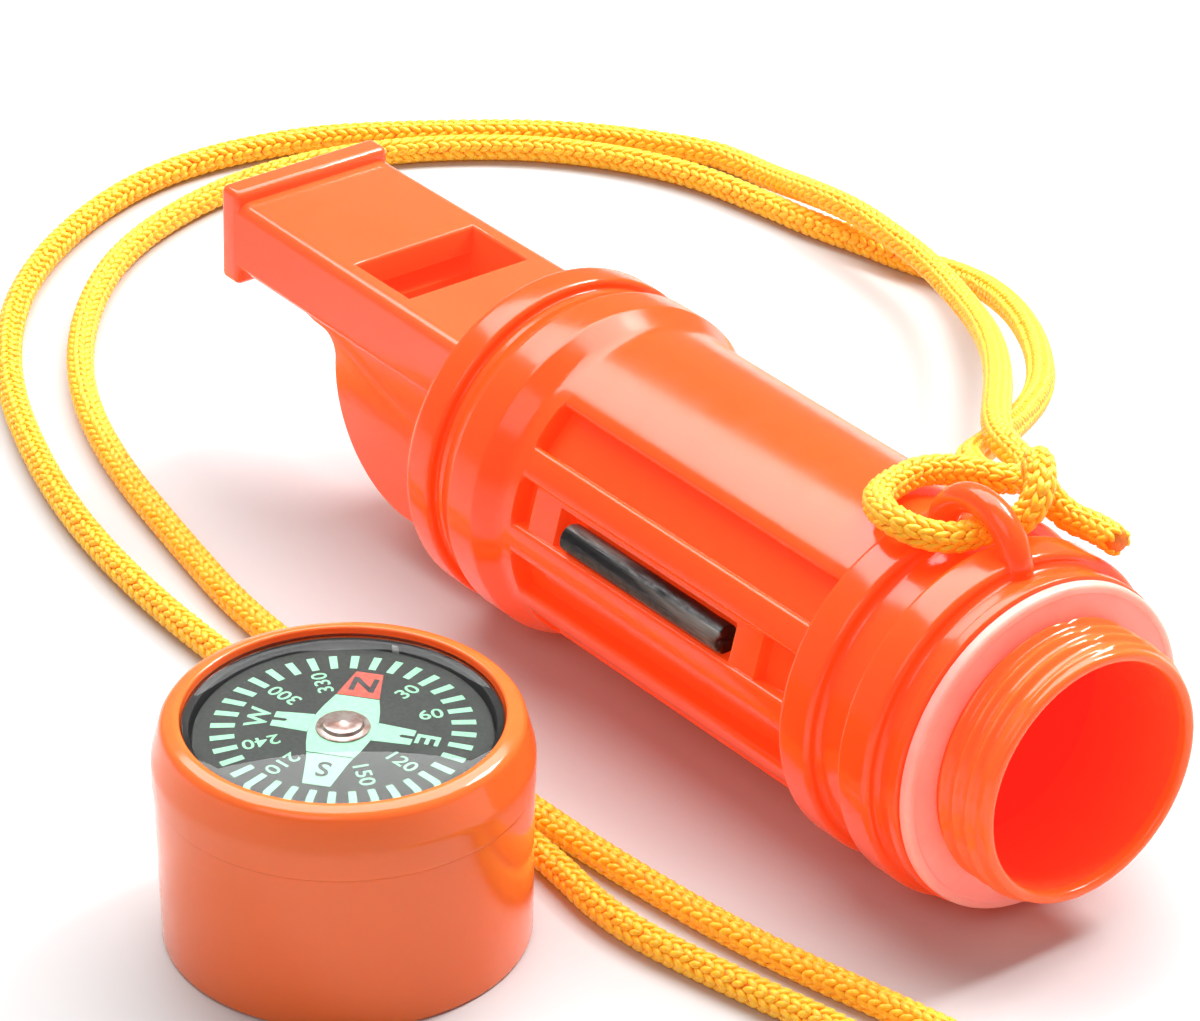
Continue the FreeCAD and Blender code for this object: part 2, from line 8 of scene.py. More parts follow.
import bmesh
import bpy
import numpy as np
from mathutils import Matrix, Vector


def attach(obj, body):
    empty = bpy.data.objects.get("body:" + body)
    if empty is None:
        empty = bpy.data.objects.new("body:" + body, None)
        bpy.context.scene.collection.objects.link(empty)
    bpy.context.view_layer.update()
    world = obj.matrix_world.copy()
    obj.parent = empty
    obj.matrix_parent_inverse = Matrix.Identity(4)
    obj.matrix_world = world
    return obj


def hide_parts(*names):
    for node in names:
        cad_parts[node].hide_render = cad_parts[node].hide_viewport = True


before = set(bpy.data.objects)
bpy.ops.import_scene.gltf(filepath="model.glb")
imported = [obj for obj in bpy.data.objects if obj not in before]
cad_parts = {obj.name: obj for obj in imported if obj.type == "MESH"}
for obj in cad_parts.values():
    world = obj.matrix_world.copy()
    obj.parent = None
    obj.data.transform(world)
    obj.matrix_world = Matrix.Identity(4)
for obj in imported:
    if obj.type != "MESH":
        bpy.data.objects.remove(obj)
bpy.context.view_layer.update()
MM = 0.001
TAU = 2 * math.pi

# The bottle's frame: depth from the neck's rim, height above the axis, and sideways.
MOUTH_X, AXIS_Y, AXIS_Z = 49.55, 20.75, 14.0
ROLL = math.radians(1.5)
CAP_X, CAP_Y = 14.7, -20.75

# ---- camera

CAMERA_AT = (0.314825, -0.231451, 0.250693)
CAMERA_YAW = 2.482349
CAMERA_PITCH = 0.529994
SENSOR_MM, LENS_MM = 36, 180.2037
SHIFT_X, SHIFT_Y = 0.01481, -0.00777


def linked(name, data):
    made = bpy.data.objects.new(name, data)
    bpy.context.scene.collection.objects.link(made)
    return made


def make_camera():
    data = bpy.data.cameras.new("camera")
    data.sensor_width = SENSOR_MM
    data.lens = LENS_MM
    data.shift_x = SHIFT_X
    data.shift_y = SHIFT_Y
    data.clip_start, data.clip_end = 0.02, 20
    camera = linked("camera", data)
    level = math.cos(CAMERA_PITCH)
    ahead = Vector((level * math.cos(CAMERA_YAW), level * math.sin(CAMERA_YAW), -math.sin(CAMERA_PITCH)))
    camera.rotation_mode = "QUATERNION"
    camera.rotation_quaternion = ahead.to_track_quat("-Z", "Y")
    camera.location = CAMERA_AT
    bpy.context.scene.camera = camera


make_camera()

# ---- mesh helpers


def mesh_piece(name, points, faces, smooth=True):
    """A linked object from points in millimetres."""
    mesh = bpy.data.meshes.new(name)
    mesh.from_pydata((np.asarray(points, float) * MM).tolist(), [], faces)
    mesh.validate()
    mesh.update()
    if smooth:
        mesh.shade_smooth()
    return linked(name, mesh)


def grid_faces(rows, columns, wrap_rows=False):
    """Quads of a grid of points stored row after row. Each row is a closed ring."""
    faces = []
    for i in range(rows if wrap_rows else rows - 1):
        low, high = i * columns, (i + 1) % rows * columns
        for j in range(columns):
            k = (j + 1) % columns
            faces.append((low + j, low + k, high + k, high + j))
    return faces


def capped_faces(rows, columns):
    """Quads of a grid that is closed around, with one face over its first row and one over its last."""
    ends = [tuple(range(columns)), tuple(range((rows - 1) * columns, rows * columns))]
    return grid_faces(rows, columns) + ends


def rounded_path(corners, steps=6, spacing=None):
    """(along, radius, fillet) corners to a list of points with each corner rounded."""
    points = [np.array(corners[0][:2], float)]
    for before, here, after in zip(corners, corners[1:], corners[2:]):
        corner = np.array(here[:2], float)
        back = np.array(before[:2], float) - corner
        on = np.array(after[:2], float) - corner
        back_run, on_run = np.linalg.norm(back), np.linalg.norm(on)
        back, on = back / back_run, on / on_run
        turn = math.pi - math.acos(max(-1, min(1, float(back @ on))))
        if here[2] <= 0 or turn < 0.02:
            points.append(corner)
            continue
        reach = min(here[2] * math.tan(turn / 2), 0.48 * back_run, 0.48 * on_run)
        radius = reach / math.tan(turn / 2)
        middle = corner + (back + on) / np.linalg.norm(back + on) * math.hypot(radius, reach)
        first, last = corner + back * reach - middle, corner + on * reach - middle
        for k in range(steps + 1):
            share = k / steps
            mix = first * math.sin((1 - share) * turn) + last * math.sin(share * turn)
            points.append(middle + mix / math.sin(turn))
    points.append(np.array(corners[-1][:2], float))
    if spacing is None:
        return np.array(points)
    filled = [points[0]]
    for point in points[1:]:
        run = np.linalg.norm(point - filled[-1])
        pieces = max(1, int(math.ceil(run / spacing)))
        start = filled[-1]
        for k in range(1, pieces + 1):
            filled.append(start + (point - start) * k / pieces)
    return np.array(filled)


def bottle(depth, up, side):
    """Points from the bottle's frame to the row frame, in millimetres."""
    depth, up, side = np.broadcast_arrays(depth, up, side)
    y = AXIS_Y + side * math.cos(ROLL) + up * math.sin(ROLL)
    z = AXIS_Z + up * math.cos(ROLL) - side * math.sin(ROLL)
    return np.stack([MOUTH_X - depth, y, z], -1)


def about_bottle(path, segments):
    """A path of (depth, radius) points turned about the bottle's axis, row after row."""
    angle = np.arange(segments) * TAU / segments
    radius = path[:, 1][:, None]
    return bottle(path[:, 0][:, None], radius * np.cos(angle), radius * np.sin(angle)).reshape(-1, 3)


def turned_bottle(name, corners, segments=160, steps=6):
    """A ring turned about the bottle's axis from a closed (depth, radius, fillet) outline."""
    path = rounded_path(corners, steps)
    return mesh_piece(name, about_bottle(path, segments), grid_faces(len(path), segments, wrap_rows=True))


def about_cap(path, segments):
    """A path of (height, radius) points turned about the cap's axis, row after row."""
    angle = np.arange(segments) * TAU / segments
    x = CAP_X + path[:, 1][:, None] * np.cos(angle)
    y = CAP_Y + path[:, 1][:, None] * np.sin(angle)
    z = np.broadcast_to(path[:, 0][:, None], x.shape)
    return np.stack([x, y, z], -1).reshape(-1, 3)


def turned_cap(name, path, segments):
    """A ring turned about the cap's axis from a closed (height, radius) path."""
    return mesh_piece(name, about_cap(path, segments), grid_faces(len(path), segments, wrap_rows=True))


def prism(name, outline, half):
    """An outline of (depth, up) points pulled sideways by half, a width or a function of depth."""
    count = len(outline)
    depth, up = np.array(outline, float).T
    reach = half(depth) if callable(half) else np.full(count, half)
    faces = [tuple(range(count))[::-1], tuple(range(count, 2 * count))]
    for i in range(count):
        j = (i + 1) % count
        faces.append((i, j, count + j, count + i))
    points = np.vstack([bottle(depth, up, -reach), bottle(depth, up, reach)])
    piece = mesh_piece(name, points, faces, smooth=False)
    outward(piece)
    return piece


def outward(piece):
    """Turns every face of a closed shape outwards."""
    work = bmesh.new()
    work.from_mesh(piece.data)
    bmesh.ops.recalc_face_normals(work, faces=work.faces)
    work.to_mesh(piece.data)
    work.free()


def soften(piece, width, segments=4, chosen=None):
    """Bevels the edges that chosen() accepts, or every sharp edge."""
    work = bmesh.new()
    work.from_mesh(piece.data)
    work.normal_update()
    edges = []
    for edge in work.edges:
        if len(edge.link_faces) == 2 and edge.calc_face_angle(0) > 0.6:
            if chosen is None or chosen(edge):
                edges.append(edge)
    bmesh.ops.bevel(
        work, geom=edges, offset=width * MM, segments=segments, profile=0.5,
        affect="EDGES", clamp_overlap=True,
    )
    work.to_mesh(piece.data)
    work.free()


def combine(piece, other, operation):
    """Joins a piece with another or cuts it by it. The other is used up."""
    made = piece.modifiers.new("combine", "BOOLEAN")
    made.object = other
    made.operation = operation
    made.solver = "EXACT"
    bpy.context.view_layer.update()
    shape = piece.evaluated_get(bpy.context.evaluated_depsgraph_get())
    result = bpy.data.meshes.new_from_object(shape)
    piece.modifiers.clear()
    piece.data = result
    bpy.data.objects.remove(other)


def join(name, parts):
    """Several objects' meshes in one new object, keeping their materials."""
    whole = bmesh.new()
    materials = []
    for part in parts:
        start = len(whole.faces)
        whole.from_mesh(part.data)
        whole.faces.ensure_lookup_table()
        slots = list(part.data.materials)
        for material in slots:
            if material not in materials:
                materials.append(material)
        for face in whole.faces[start:]:
            if slots:
                face.material_index = materials.index(slots[min(face.material_index, len(slots) - 1)])
    mesh = bpy.data.meshes.new(name)
    whole.to_mesh(mesh)
    whole.free()
    for material in materials:
        mesh.materials.append(material)
    for part in parts:
        bpy.data.objects.remove(part)
    return linked(name, mesh)


def shade_by_angle(piece, angle):
    """Smooth shading, with edges sharper than angle degrees kept."""
    piece.data.shade_smooth()
    piece.data.set_sharp_from_angle(angle=math.radians(angle))


def place(piece, body, slot, *nodes):
    """Rides a piece on a body and hides the CAD nodes that it stands for. The slot is not used."""
    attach(piece, body)
    if nodes:
        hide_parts(*nodes)


def finish(piece, ink, angle, body, slot, *nodes):
    """The last steps of a closed shape: its material, faces, shading and place in the frame."""
    piece.data.materials.append(MAT[ink])
    outward(piece)
    shade_by_angle(piece, angle)
    place(piece, body, slot, *nodes)


# ---- lanyard

ROUTE = [
    # tie: tail, fold over the arch, ring and the turn behind the fold
    (40.9, 30.6, 26.2), (38.2, 30.8, 26.2), (35.5, 30.4, 25.9), (33.6, 29.7, 27.3),
    (33.2, 28.9, 29.5), (34.8, 27.7, 31.7), (37.4, 25.8, 31.4), (37.8, 24.1, 29.1),
    (36.1, 21.7, 28.4), (35.9, 19.2, 28.4), (34.3, 17.0, 28.8), (31.4, 16.1, 29.3),
    (28.5, 17.4, 28.9), (27.0, 20.2, 28.5), (26.4, 23.6, 28.3), (27.5, 26.8, 27.7),
    (29.5, 29.1, 26.9), (29.5, 32.1, 25.9), (27.1, 33.8, 25.4),
    # outer strand: down behind the bottle, over the inner one, round the back and the cap
    (22.9, 34.8, 25.2), (18.6, 38.0, 23.9), (11.6, 44.5, 20.4), (2.4, 52.9, 15.4),
    (-7.9, 61.7, 10.4), (-16.1, 67.7, 7.2), (-22.6, 71.4, 5.4), (-28.1, 73.8, 4.6),
    (-33.0, 75.3, 4.3), (-37.3, 75.9, 4.25), (-41.6, 76.4, 4.2), (-45.5, 76.5, 4.0),
    (-50.0, 76.6, 3.4), (-55.9, 77.7, 1.8), (-61.0, 77.9, 1.25), (-65.0, 76.9, 1.25),
    (-75.4, 69.6, 1.25), (-84.2, 58.0, 1.25), (-89.9, 48.4, 1.25), (-92.0, 35.8, 1.25),
    (-88.2, 23.6, 1.25), (-80.4, 12.2, 1.25), (-68.0, 2.9, 1.25), (-51.2, -3.7, 1.25),
    (-36.8, -6.8, 1.25), (-21.0, -7.9, 1.25), (-6.4, -7.2, 1.25), (6.0, -4.9, 1.25),
    (17.4, -4.7, 1.25), (27.8, -6.3, 1.25), (38.6, -4.3, 1.25), (49.4, -1.6, 1.25),
    # bight, out of view
    (60.0, -0.6, 1.25), (70.6, -4.4, 1.25), (78.0, -13.2, 1.25), (83.4, -26.0, 1.25),
    (89.0, -33.8, 1.25), (95.6, -31.6, 1.25), (95.8, -23.6, 1.25), (91.2, -14.2, 1.25),
    (84.2, -4.0, 1.25), (73.4, 3.8, 1.25), (61.2, 5.4, 1.25),
    # inner strand: back beside the outer one and up to the knot
    (49.8, 3.1, 1.25), (38.4, 0.3, 1.25), (26.8, -1.2, 1.25), (14.6, -2.0, 1.25), (1.8, -1.9, 1.25),
    (-10.4, -2.9, 1.25), (-23.6, -2.9, 1.25), (-37.0, -0.4, 1.25), (-51.0, 2.6, 1.25),
    (-63.0, 7.2, 1.25), (-73.4, 14.6, 1.25), (-81.6, 24.2, 1.25), (-85.6, 36.4, 1.25),
    (-85.0, 47.6, 1.25), (-80.8, 57.6, 1.25), (-73.6, 66.6, 1.25), (-63.2, 72.9, 1.25),
    (-52.8, 74.8, 1.25), (-49.2, 75.2, 1.25), (-45.6, 76.0, 1.25), (-42.4, 76.8, 1.25),
    (-39.3, 77.4, 1.25), (-36.7, 78.0, 1.25), (-34.2, 78.8, 1.35), (-30.6, 78.7, 2.0),
    (-25.5, 77.2, 3.4), (-18.0, 73.5, 5.6), (-9.5, 67.8, 8.4), (-1.1, 60.9, 11.6),
    (4.7, 55.1, 13.9), (8.9, 49.7, 15.9), (13.1, 43.9, 18.2), (17.1, 38.3, 20.8),
    (20.2, 34.0, 22.9), (23.3, 31.6, 24.2), (26.6, 30.7, 24.6),
]
CORE_R, CORE_SIDES = 0.93, 12
# the knit: columns of stitches around, a stitch's run along, and the two legs of each stitch
WALES, COURSE = 6, 0.98
LEG_SLANT, LEG_SHIFT = math.radians(27), 0.235
GRAIN_LONG, GRAIN_WIDE, GRAIN_THICK, GRAIN_SIDES = 0.74, 0.315, 0.24, 6
GRAIN_OUT = 0.985


def curve_shape(curve):
    """The points and faces of the mesh that a curve or a text makes, in its own units."""
    carrier = linked(curve.name, curve)
    bpy.context.view_layer.update()
    shape = carrier.evaluated_get(bpy.context.evaluated_depsgraph_get())
    mesh = bpy.data.meshes.new_from_object(shape)
    points = np.array([v.co[:] for v in mesh.vertices])
    faces = [tuple(p.vertices) for p in mesh.polygons]
    bpy.data.objects.remove(carrier)
    bpy.data.meshes.remove(mesh)
    return points, faces


def cord_line():
    """Points along the lanyard, read from the NURBS spline through its route, in millimetres."""
    curve = bpy.data.curves.new("lanyard_route", "CURVE")
    curve.dimensions = "3D"
    curve.resolution_u = 14
    spline = curve.splines.new("NURBS")
    spline.points.add(len(ROUTE) - 1)
    for point, place in zip(spline.points, ROUTE):
        point.co = (place[0] * MM, place[1] * MM, place[2] * MM, 1)
    spline.order_u = 3
    spline.use_endpoint_u = True
    return curve_shape(curve)[0] / MM


def cord_frames(line, step=0.25):
    """Evenly spaced places on the line with two cross directions that don't twist."""
    runs = np.linalg.norm(np.diff(line, axis=0), axis=1)
    keep = np.concatenate([[True], runs > 1e-6])
    line = line[keep]
    along = np.concatenate([[0], np.cumsum(np.linalg.norm(np.diff(line, axis=0), axis=1))])
    places = np.linspace(0, along[-1], int(along[-1] / step) + 1)
    centre = np.stack([np.interp(places, along, line[:, k]) for k in range(3)], -1)
    ahead = np.gradient(centre, axis=0)
    ahead /= np.linalg.norm(ahead, axis=1)[:, None]
    across = np.zeros_like(centre)
    now = np.cross(ahead[0], (0, 0, 1))
    for i, direction in enumerate(ahead):
        now = now - direction * (now @ direction)
        now = now / np.linalg.norm(now)
        across[i] = now
    return places, centre, across, np.cross(ahead, across)


def grain():
    """The visible leg of a stitch in unit sizes, a bead with two pointed ends, and its faces."""
    points = [(-1.0, 0, 0)]
    for along, width in ((-0.72, 0.72), (-0.25, 1.0), (0.3, 0.98), (0.75, 0.66)):
        for k in range(GRAIN_SIDES):
            turn = k * TAU / GRAIN_SIDES
            points.append((along, width * math.cos(turn), width * math.sin(turn)))
    points.append((1.0, 0, 0))
    tip = len(points) - 1
    faces = []
    for k in range(GRAIN_SIDES):
        m = (k + 1) % GRAIN_SIDES
        faces.append((0, 1 + m, 1 + k))
        for low in range(1, tip - GRAIN_SIDES, GRAIN_SIDES):
            high = low + GRAIN_SIDES
            faces.append((low + k, low + m, high + m, high + k))
        faces.append((tip - GRAIN_SIDES + k, tip - GRAIN_SIDES + m, tip))
    return np.array(points), faces


def stitch_legs(length):
    """Each column's places, turns, slants, half lengths and half widths, one leg at a time."""
    dice = np.random.default_rng(7)
    courses = np.arange(0.5, length - 0.5, COURSE)
    count = len(courses)
    spread = TAU / WALES
    for wale in range(WALES):
        for leg in (-1, 1):
            middle = courses + (0.5 * COURSE if wale % 2 else 0) + dice.normal(0, 0.035, count)
            turn = wale * spread + leg * LEG_SHIFT * spread + dice.normal(0, 0.025, count) + 0.0009 * middle
            slant = -leg * (LEG_SLANT + dice.normal(0, 0.06, count))
            long = GRAIN_LONG * (1 + dice.normal(0, 0.05, count))
            wide = GRAIN_WIDE * (1 + dice.normal(0, 0.07, count))
            yield middle, turn, slant, long, wide


def core_rows(length):
    """Places along the plain core under the stitches and its radius there. Its ends are melted round."""
    ends = np.array([0, 0.1, 0.3])
    along = np.concatenate([ends, np.arange(0.6, length - 0.6, 0.5), length - ends[::-1]])
    radius = np.full(len(along), CORE_R)
    radius[[0, -1]] = 0.3
    radius[[1, -2]] = 0.75
    return along, radius


def make_lanyard():
    line = cord_line()
    places, centre, across, other = cord_frames(line)
    length = places[-1]

    def surface(along, angle, radius):
        """Points at places along the cord, angles around it and distances from its centre."""
        def at(values):
            return np.stack([np.interp(along, places, values[:, k]) for k in range(3)], -1)

        mix = at(across) * np.cos(angle)[..., None] + at(other) * np.sin(angle)[..., None]
        return at(centre) + mix * radius[..., None]

    along, radius = core_rows(length)
    angle = np.arange(CORE_SIDES) * TAU / CORE_SIDES
    rows, around = np.repeat(along, CORE_SIDES), np.tile(angle, len(along))
    points = [surface(rows, around, np.repeat(radius, CORE_SIDES))]
    count = len(points[0])
    faces = grid_faces(len(along), CORE_SIDES)
    faces += [tuple(range(CORE_SIDES))[::-1], tuple(range(count - CORE_SIDES, count))]
    core_faces = len(faces)
    bead, bead_faces = grain()
    along_bead, side_bead, up_bead = bead.T
    for middle, turn, slant, long, wide in stitch_legs(length):
        ahead, side = long[:, None] * along_bead, wide[:, None] * side_bead
        along = middle[:, None] + ahead * np.cos(slant)[:, None] - side * np.sin(slant)[:, None]
        around = ahead * np.sin(slant)[:, None] + side * np.cos(slant)[:, None]
        radius = GRAIN_OUT + GRAIN_THICK * up_bead + 0.10 * along_bead - 0.13 * along_bead ** 2
        radius = np.broadcast_to(radius, along.shape)
        along = np.clip(along, 0.05, length - 0.05)
        points.append(surface(along.ravel(), (turn[:, None] + around / 1.05).ravel(), radius.ravel()))
        for k in range(len(middle)):
            start = count + k * len(bead)
            faces += [tuple(start + v for v in face) for face in bead_faces]
        count += len(middle) * len(bead)
    piece = mesh_piece("lanyard_cord", np.vstack(points), faces)
    piece.data.materials.append(MAT["cord"])
    piece.data.materials.append(MAT["cord_core"])
    index = np.zeros(len(piece.data.polygons), int)
    index[:core_faces] = 1
    piece.data.polygons.foreach_set("material_index", index)
    nodes = ("lanyard_tie", "lanyard_outer_strand", "lanyard_bight", "lanyard_inner_strand")
    place(piece, "bottle", "cord", *nodes)
    tuple(v * MM for v in ROUTE[0])


# ---- materials

MAT = {}


def material(name, color, roughness, **settings):
    """A Principled material. Settings are socket names with _ for spaces."""
    made = bpy.data.materials.new(name)
    made.use_nodes = True
    shader = made.node_tree.nodes["Principled BSDF"]
    shader.inputs["Base Color"].default_value = (*color, 1)
    shader.inputs["Roughness"].default_value = roughness
    for key, value in settings.items():
        shader.inputs[key.replace("_", " ")].default_value = value
    MAT[name] = made
    return made


def add_noise(made, scale, detail, stretch=(1, 1, 1)):
    """A noise texture in the object's own coordinates."""
    tree = made.node_tree
    place = tree.nodes.new("ShaderNodeTexCoord")
    stretch_node = tree.nodes.new("ShaderNodeMapping")
    stretch_node.inputs["Scale"].default_value = stretch
    noise = tree.nodes.new("ShaderNodeTexNoise")
    noise.inputs["Scale"].default_value = scale
    noise.inputs["Detail"].default_value = detail
    tree.links.new(place.outputs["Object"], stretch_node.inputs["Vector"])
    tree.links.new(stretch_node.outputs["Vector"], noise.inputs["Vector"])
    return noise


def add_ramp(made, source, stops):
    """A colour ramp of (position, color) stops driven by source."""
    tree = made.node_tree
    ramp = tree.nodes.new("ShaderNodeValToRGB")
    elements = ramp.color_ramp.elements
    while len(elements) < len(stops):
        elements.new(0.5)
    for element, (position, color) in zip(elements, stops):
        element.position = position
        element.color = (*color, 1)
    tree.links.new(source, ramp.inputs["Fac"])
    return ramp.outputs["Color"]


def add_bump(made, noise, distance, strength):
    """Relief from a noise, distance in metres."""
    tree = made.node_tree
    bump = tree.nodes.new("ShaderNodeBump")
    bump.inputs["Strength"].default_value = strength
    bump.inputs["Distance"].default_value = distance
    tree.links.new(noise.outputs["Fac"], bump.inputs["Height"])
    set_input(made, "Normal", bump.outputs["Normal"])


def set_input(made, socket, source):
    made.node_tree.links.new(source, made.node_tree.nodes["Principled BSDF"].inputs[socket])


def gray(value):
    return (value, value, value)


def vary(made, socket, scale, detail, *stops, stretch=(1, 1, 1)):
    """Drives a socket by a noise through (noise value, color) stops. Returns the noise."""
    noise = add_noise(made, scale, detail, stretch)
    set_input(made, socket, add_ramp(made, noise.outputs["Fac"], stops))
    return noise


def plastic(name, dark, light, roughness, scatter, painted_glow):
    """Moulded plastic: faint flow marks in its colour, fine scuffs in its gloss, slight orange peel. Its
    emission is a painted glow in its own colour, standing in for light that shines through the plastic.
    """
    made = material(
        name, light, roughness, Subsurface_Weight=scatter, Subsurface_Scale=0.005,
        Subsurface_Radius=(1.0, 0.3, 0.08), IOR=1.45, Coat_Weight=0.1, Coat_Roughness=0.06,
        Emission_Color=(*light, 1), Emission_Strength=painted_glow,
    )
    low, high = gray(roughness * 0.85), gray(roughness * 1.3)
    vary(made, "Base Color", 45, 2, (0.3, dark), (0.7, light), stretch=(0.35, 1, 1))
    vary(made, "Roughness", 700, 6, (0.42, low), (0.75, high), stretch=(1, 0.25, 1))
    add_bump(made, add_noise(made, 380, 2), 0.00002, 0.3)
    return made


def make_plastics():
    # the last number of each is its painted glow
    plastic("body_plastic", (0.93, 0.074, 0.009), (0.95, 0.088, 0.013), 0.18, 0.4, 0.24)
    plastic("whistle_plastic", (0.93, 0.092, 0.022), (0.95, 0.108, 0.030), 0.14, 0.4, 0.3)
    plastic("cap_plastic", (0.91, 0.145, 0.026), (0.93, 0.158, 0.031), 0.14, 0.3, 0.06)
    plastic("neck_plastic", (0.94, 0.120, 0.020), (0.96, 0.140, 0.028), 0.14, 0.4, 0.24)
    bore = plastic("bore_plastic", (0.98, 0.034, 0.020), (1.0, 0.050, 0.026), 0.4, 0.5, 0.3)
    # painted light and shade: the bore's colour is more orange in its first 10 mm, where light comes in
    # through the mouth, and deep red further in, which is painted shade
    nodes, links = bore.node_tree.nodes, bore.node_tree.links
    spot = nodes.new("ShaderNodeTexCoord")
    split = nodes.new("ShaderNodeSeparateXYZ")
    share = nodes.new("ShaderNodeMapRange")
    share.inputs["From Min"].default_value = 0.0393
    share.inputs["From Max"].default_value = 0.0495
    links.new(spot.outputs["Object"], split.inputs["Vector"])
    links.new(split.outputs["X"], share.inputs["Value"])
    set_input(bore, "Base Color", add_ramp(bore, share.outputs["Result"], [
        (0.0, (0.98, 0.024, 0.024)), (0.04, (0.98, 0.062, 0.024)), (0.9, (0.97, 0.125, 0.026))]))


def make_gasket_silicone():
    # painted glow: the emission stands in for light that shines through the translucent silicone
    gasket = material(
        "gasket_silicone", (1.0, 0.38, 0.31), 0.3, Subsurface_Weight=0.8, Subsurface_Scale=0.003,
        Subsurface_Radius=(1.0, 0.4, 0.3), IOR=1.42,
        Emission_Color=(1.0, 0.22, 0.17, 1), Emission_Strength=0.22,
    )
    vary(gasket, "Base Color", 260, 4, (0.3, (0.98, 0.40, 0.34)), (0.7, (1.0, 0.48, 0.42)))
    add_bump(gasket, add_noise(gasket, 1500, 2), 0.00002, 0.4)


def make_ferro():
    """Black alloy with random grey streaks along it."""
    ferro = material("ferro", (0.012, 0.011, 0.011), 0.32, IOR=1.45)
    streak = vary(
        ferro, "Base Color", 700, 6, (0.45, gray(0.004)), (0.55, gray(0.014)), (0.66, (0.20, 0.19, 0.17)),
        stretch=(0.06, 1, 1))
    vary(ferro, "Roughness", 2500, 4, (0.35, gray(0.28)), (0.7, gray(0.55)))
    add_bump(ferro, streak, 0.0003, 0.9)


def make_metals():
    mirror = material("mirror", (0.92, 0.92, 0.94), 0.03, Metallic=1.0)
    vary(mirror, "Roughness", 600, 5, (0.5, gray(0.02)), (0.8, gray(0.15)))
    magnet = material("magnet", (0.05, 0.05, 0.05), 0.5, Metallic=0.6)
    add_bump(magnet, add_noise(magnet, 2500, 3), 0.00003, 0.5)
    brass = material("pivot", (0.85, 0.62, 0.28), 0.2, Metallic=1.0)
    vary(brass, "Roughness", 3000, 3, (0.3, gray(0.12)), (0.7, gray(0.3)))
    jewel = material("jewel", (0.70, 0.54, 0.50), 0.28, Metallic=0.7, Coat_Weight=0.5, Coat_Roughness=0.08)
    vary(jewel, "Base Color", 1400, 3, (0.35, (0.42, 0.22, 0.18)), (0.65, (0.66, 0.54, 0.50)))


def make_lens_materials():
    """Clear acrylic, scratched on top. Its gloss is low, so that the card shows through it."""
    clear = {"Transmission_Weight": 1.0, "IOR": 1.3}
    top = material("lens", (0.99, 1.0, 0.995), 0.0, Specular_IOR_Level=0.14, **clear)
    under = material("lens_underside", (0.99, 1.0, 0.995), 0.0, Specular_IOR_Level=0.0, **clear)
    vary(top, "Roughness", 500, 8, (0.70, gray(0.0)), (0.80, gray(0.10)), stretch=(0.1, 1.3, 1))
    vary(under, "Roughness", 500, 4, (0.8, gray(0.0)), (0.9, gray(0.05)))


def make_compass_materials():
    capsule = material("capsule", (0.006, 0.007, 0.007), 0.5, Specular_IOR_Level=0.25)
    add_bump(capsule, add_noise(capsule, 1500, 3), 0.00002, 0.4)
    card = material("card", (0.05, 0.055, 0.053), 0.6)
    vary(card, "Base Color", 3500, 3, (0.35, (0.018, 0.021, 0.018)), (0.7, (0.04, 0.044, 0.038)))
    mint = material(
        "mint_print", (0.36, 0.80, 0.50), 0.5, Emission_Color=(0.36, 0.80, 0.50, 1), Emission_Strength=0.12)
    vary(mint, "Base Color", 2500, 3, (0.3, (0.33, 0.76, 0.47)), (0.7, (0.42, 0.86, 0.56)))
    for name, color, roughness, low, high in (
        ("red_print", (0.85, 0.10, 0.06), 0.5, (0.78, 0.08, 0.05), (0.9, 0.14, 0.09)),
        ("dark_print", gray(0.05), 0.6, gray(0.035), gray(0.07)),
        ("white_print", gray(0.85), 0.5, gray(0.75), gray(0.9)),
    ):
        vary(material(name, color, roughness), "Base Color", 2500, 3, (0.3, low), (0.7, high))


def make_cord_materials():
    # painted glow: the cord's emission stands in for light that shines through the yarn, brightening its
    # shaded crevices
    cord = material(
        "cord", (1.0, 0.55, 0.02), 0.42, Sheen_Weight=0.15, Subsurface_Weight=0.35,
        Subsurface_Scale=0.0008, Subsurface_Radius=(1.0, 0.45, 0.05),
        Emission_Color=(1.0, 0.36, 0.0, 1), Emission_Strength=0.14,
    )
    vary(cord, "Base Color", 2600, 4, (0.3, (1.0, 0.40, 0.005)), (0.68, (1.0, 0.60, 0.022)))
    add_bump(cord, add_noise(cord, 5200, 3, (0.5, 1, 1)), 0.00006, 0.5)
    # the plain core shows between the stitches; its deeper, redder orange is painted shade for the gaps
    # between them
    core = material("cord_core", (0.85, 0.20, 0.004), 0.6)
    vary(core, "Base Color", 4000, 3, (0.3, (0.80, 0.16, 0.003)), (0.7, (0.92, 0.26, 0.006)))


make_plastics()
make_gasket_silicone()
make_ferro()
make_metals()
make_lens_materials()
make_compass_materials()
make_cord_materials()
make_lanyard()

# ---- container

BORE_R, NECK_R, BARREL_R, RING_R, WAIST_R = 9.26, 10.13, 12.95, 14.0, 12.9
FLUTE_FLOOR, FLUTE_HALF = 11.45, 1.85
# the short ramps over which a flute sinks in and comes out
FLUTE_IN, FLUTE_OUT = (18.98, 19.16), (52.46, 52.62)
FLUTE_REACH, FOOT_RISE = 2.6, 0.12
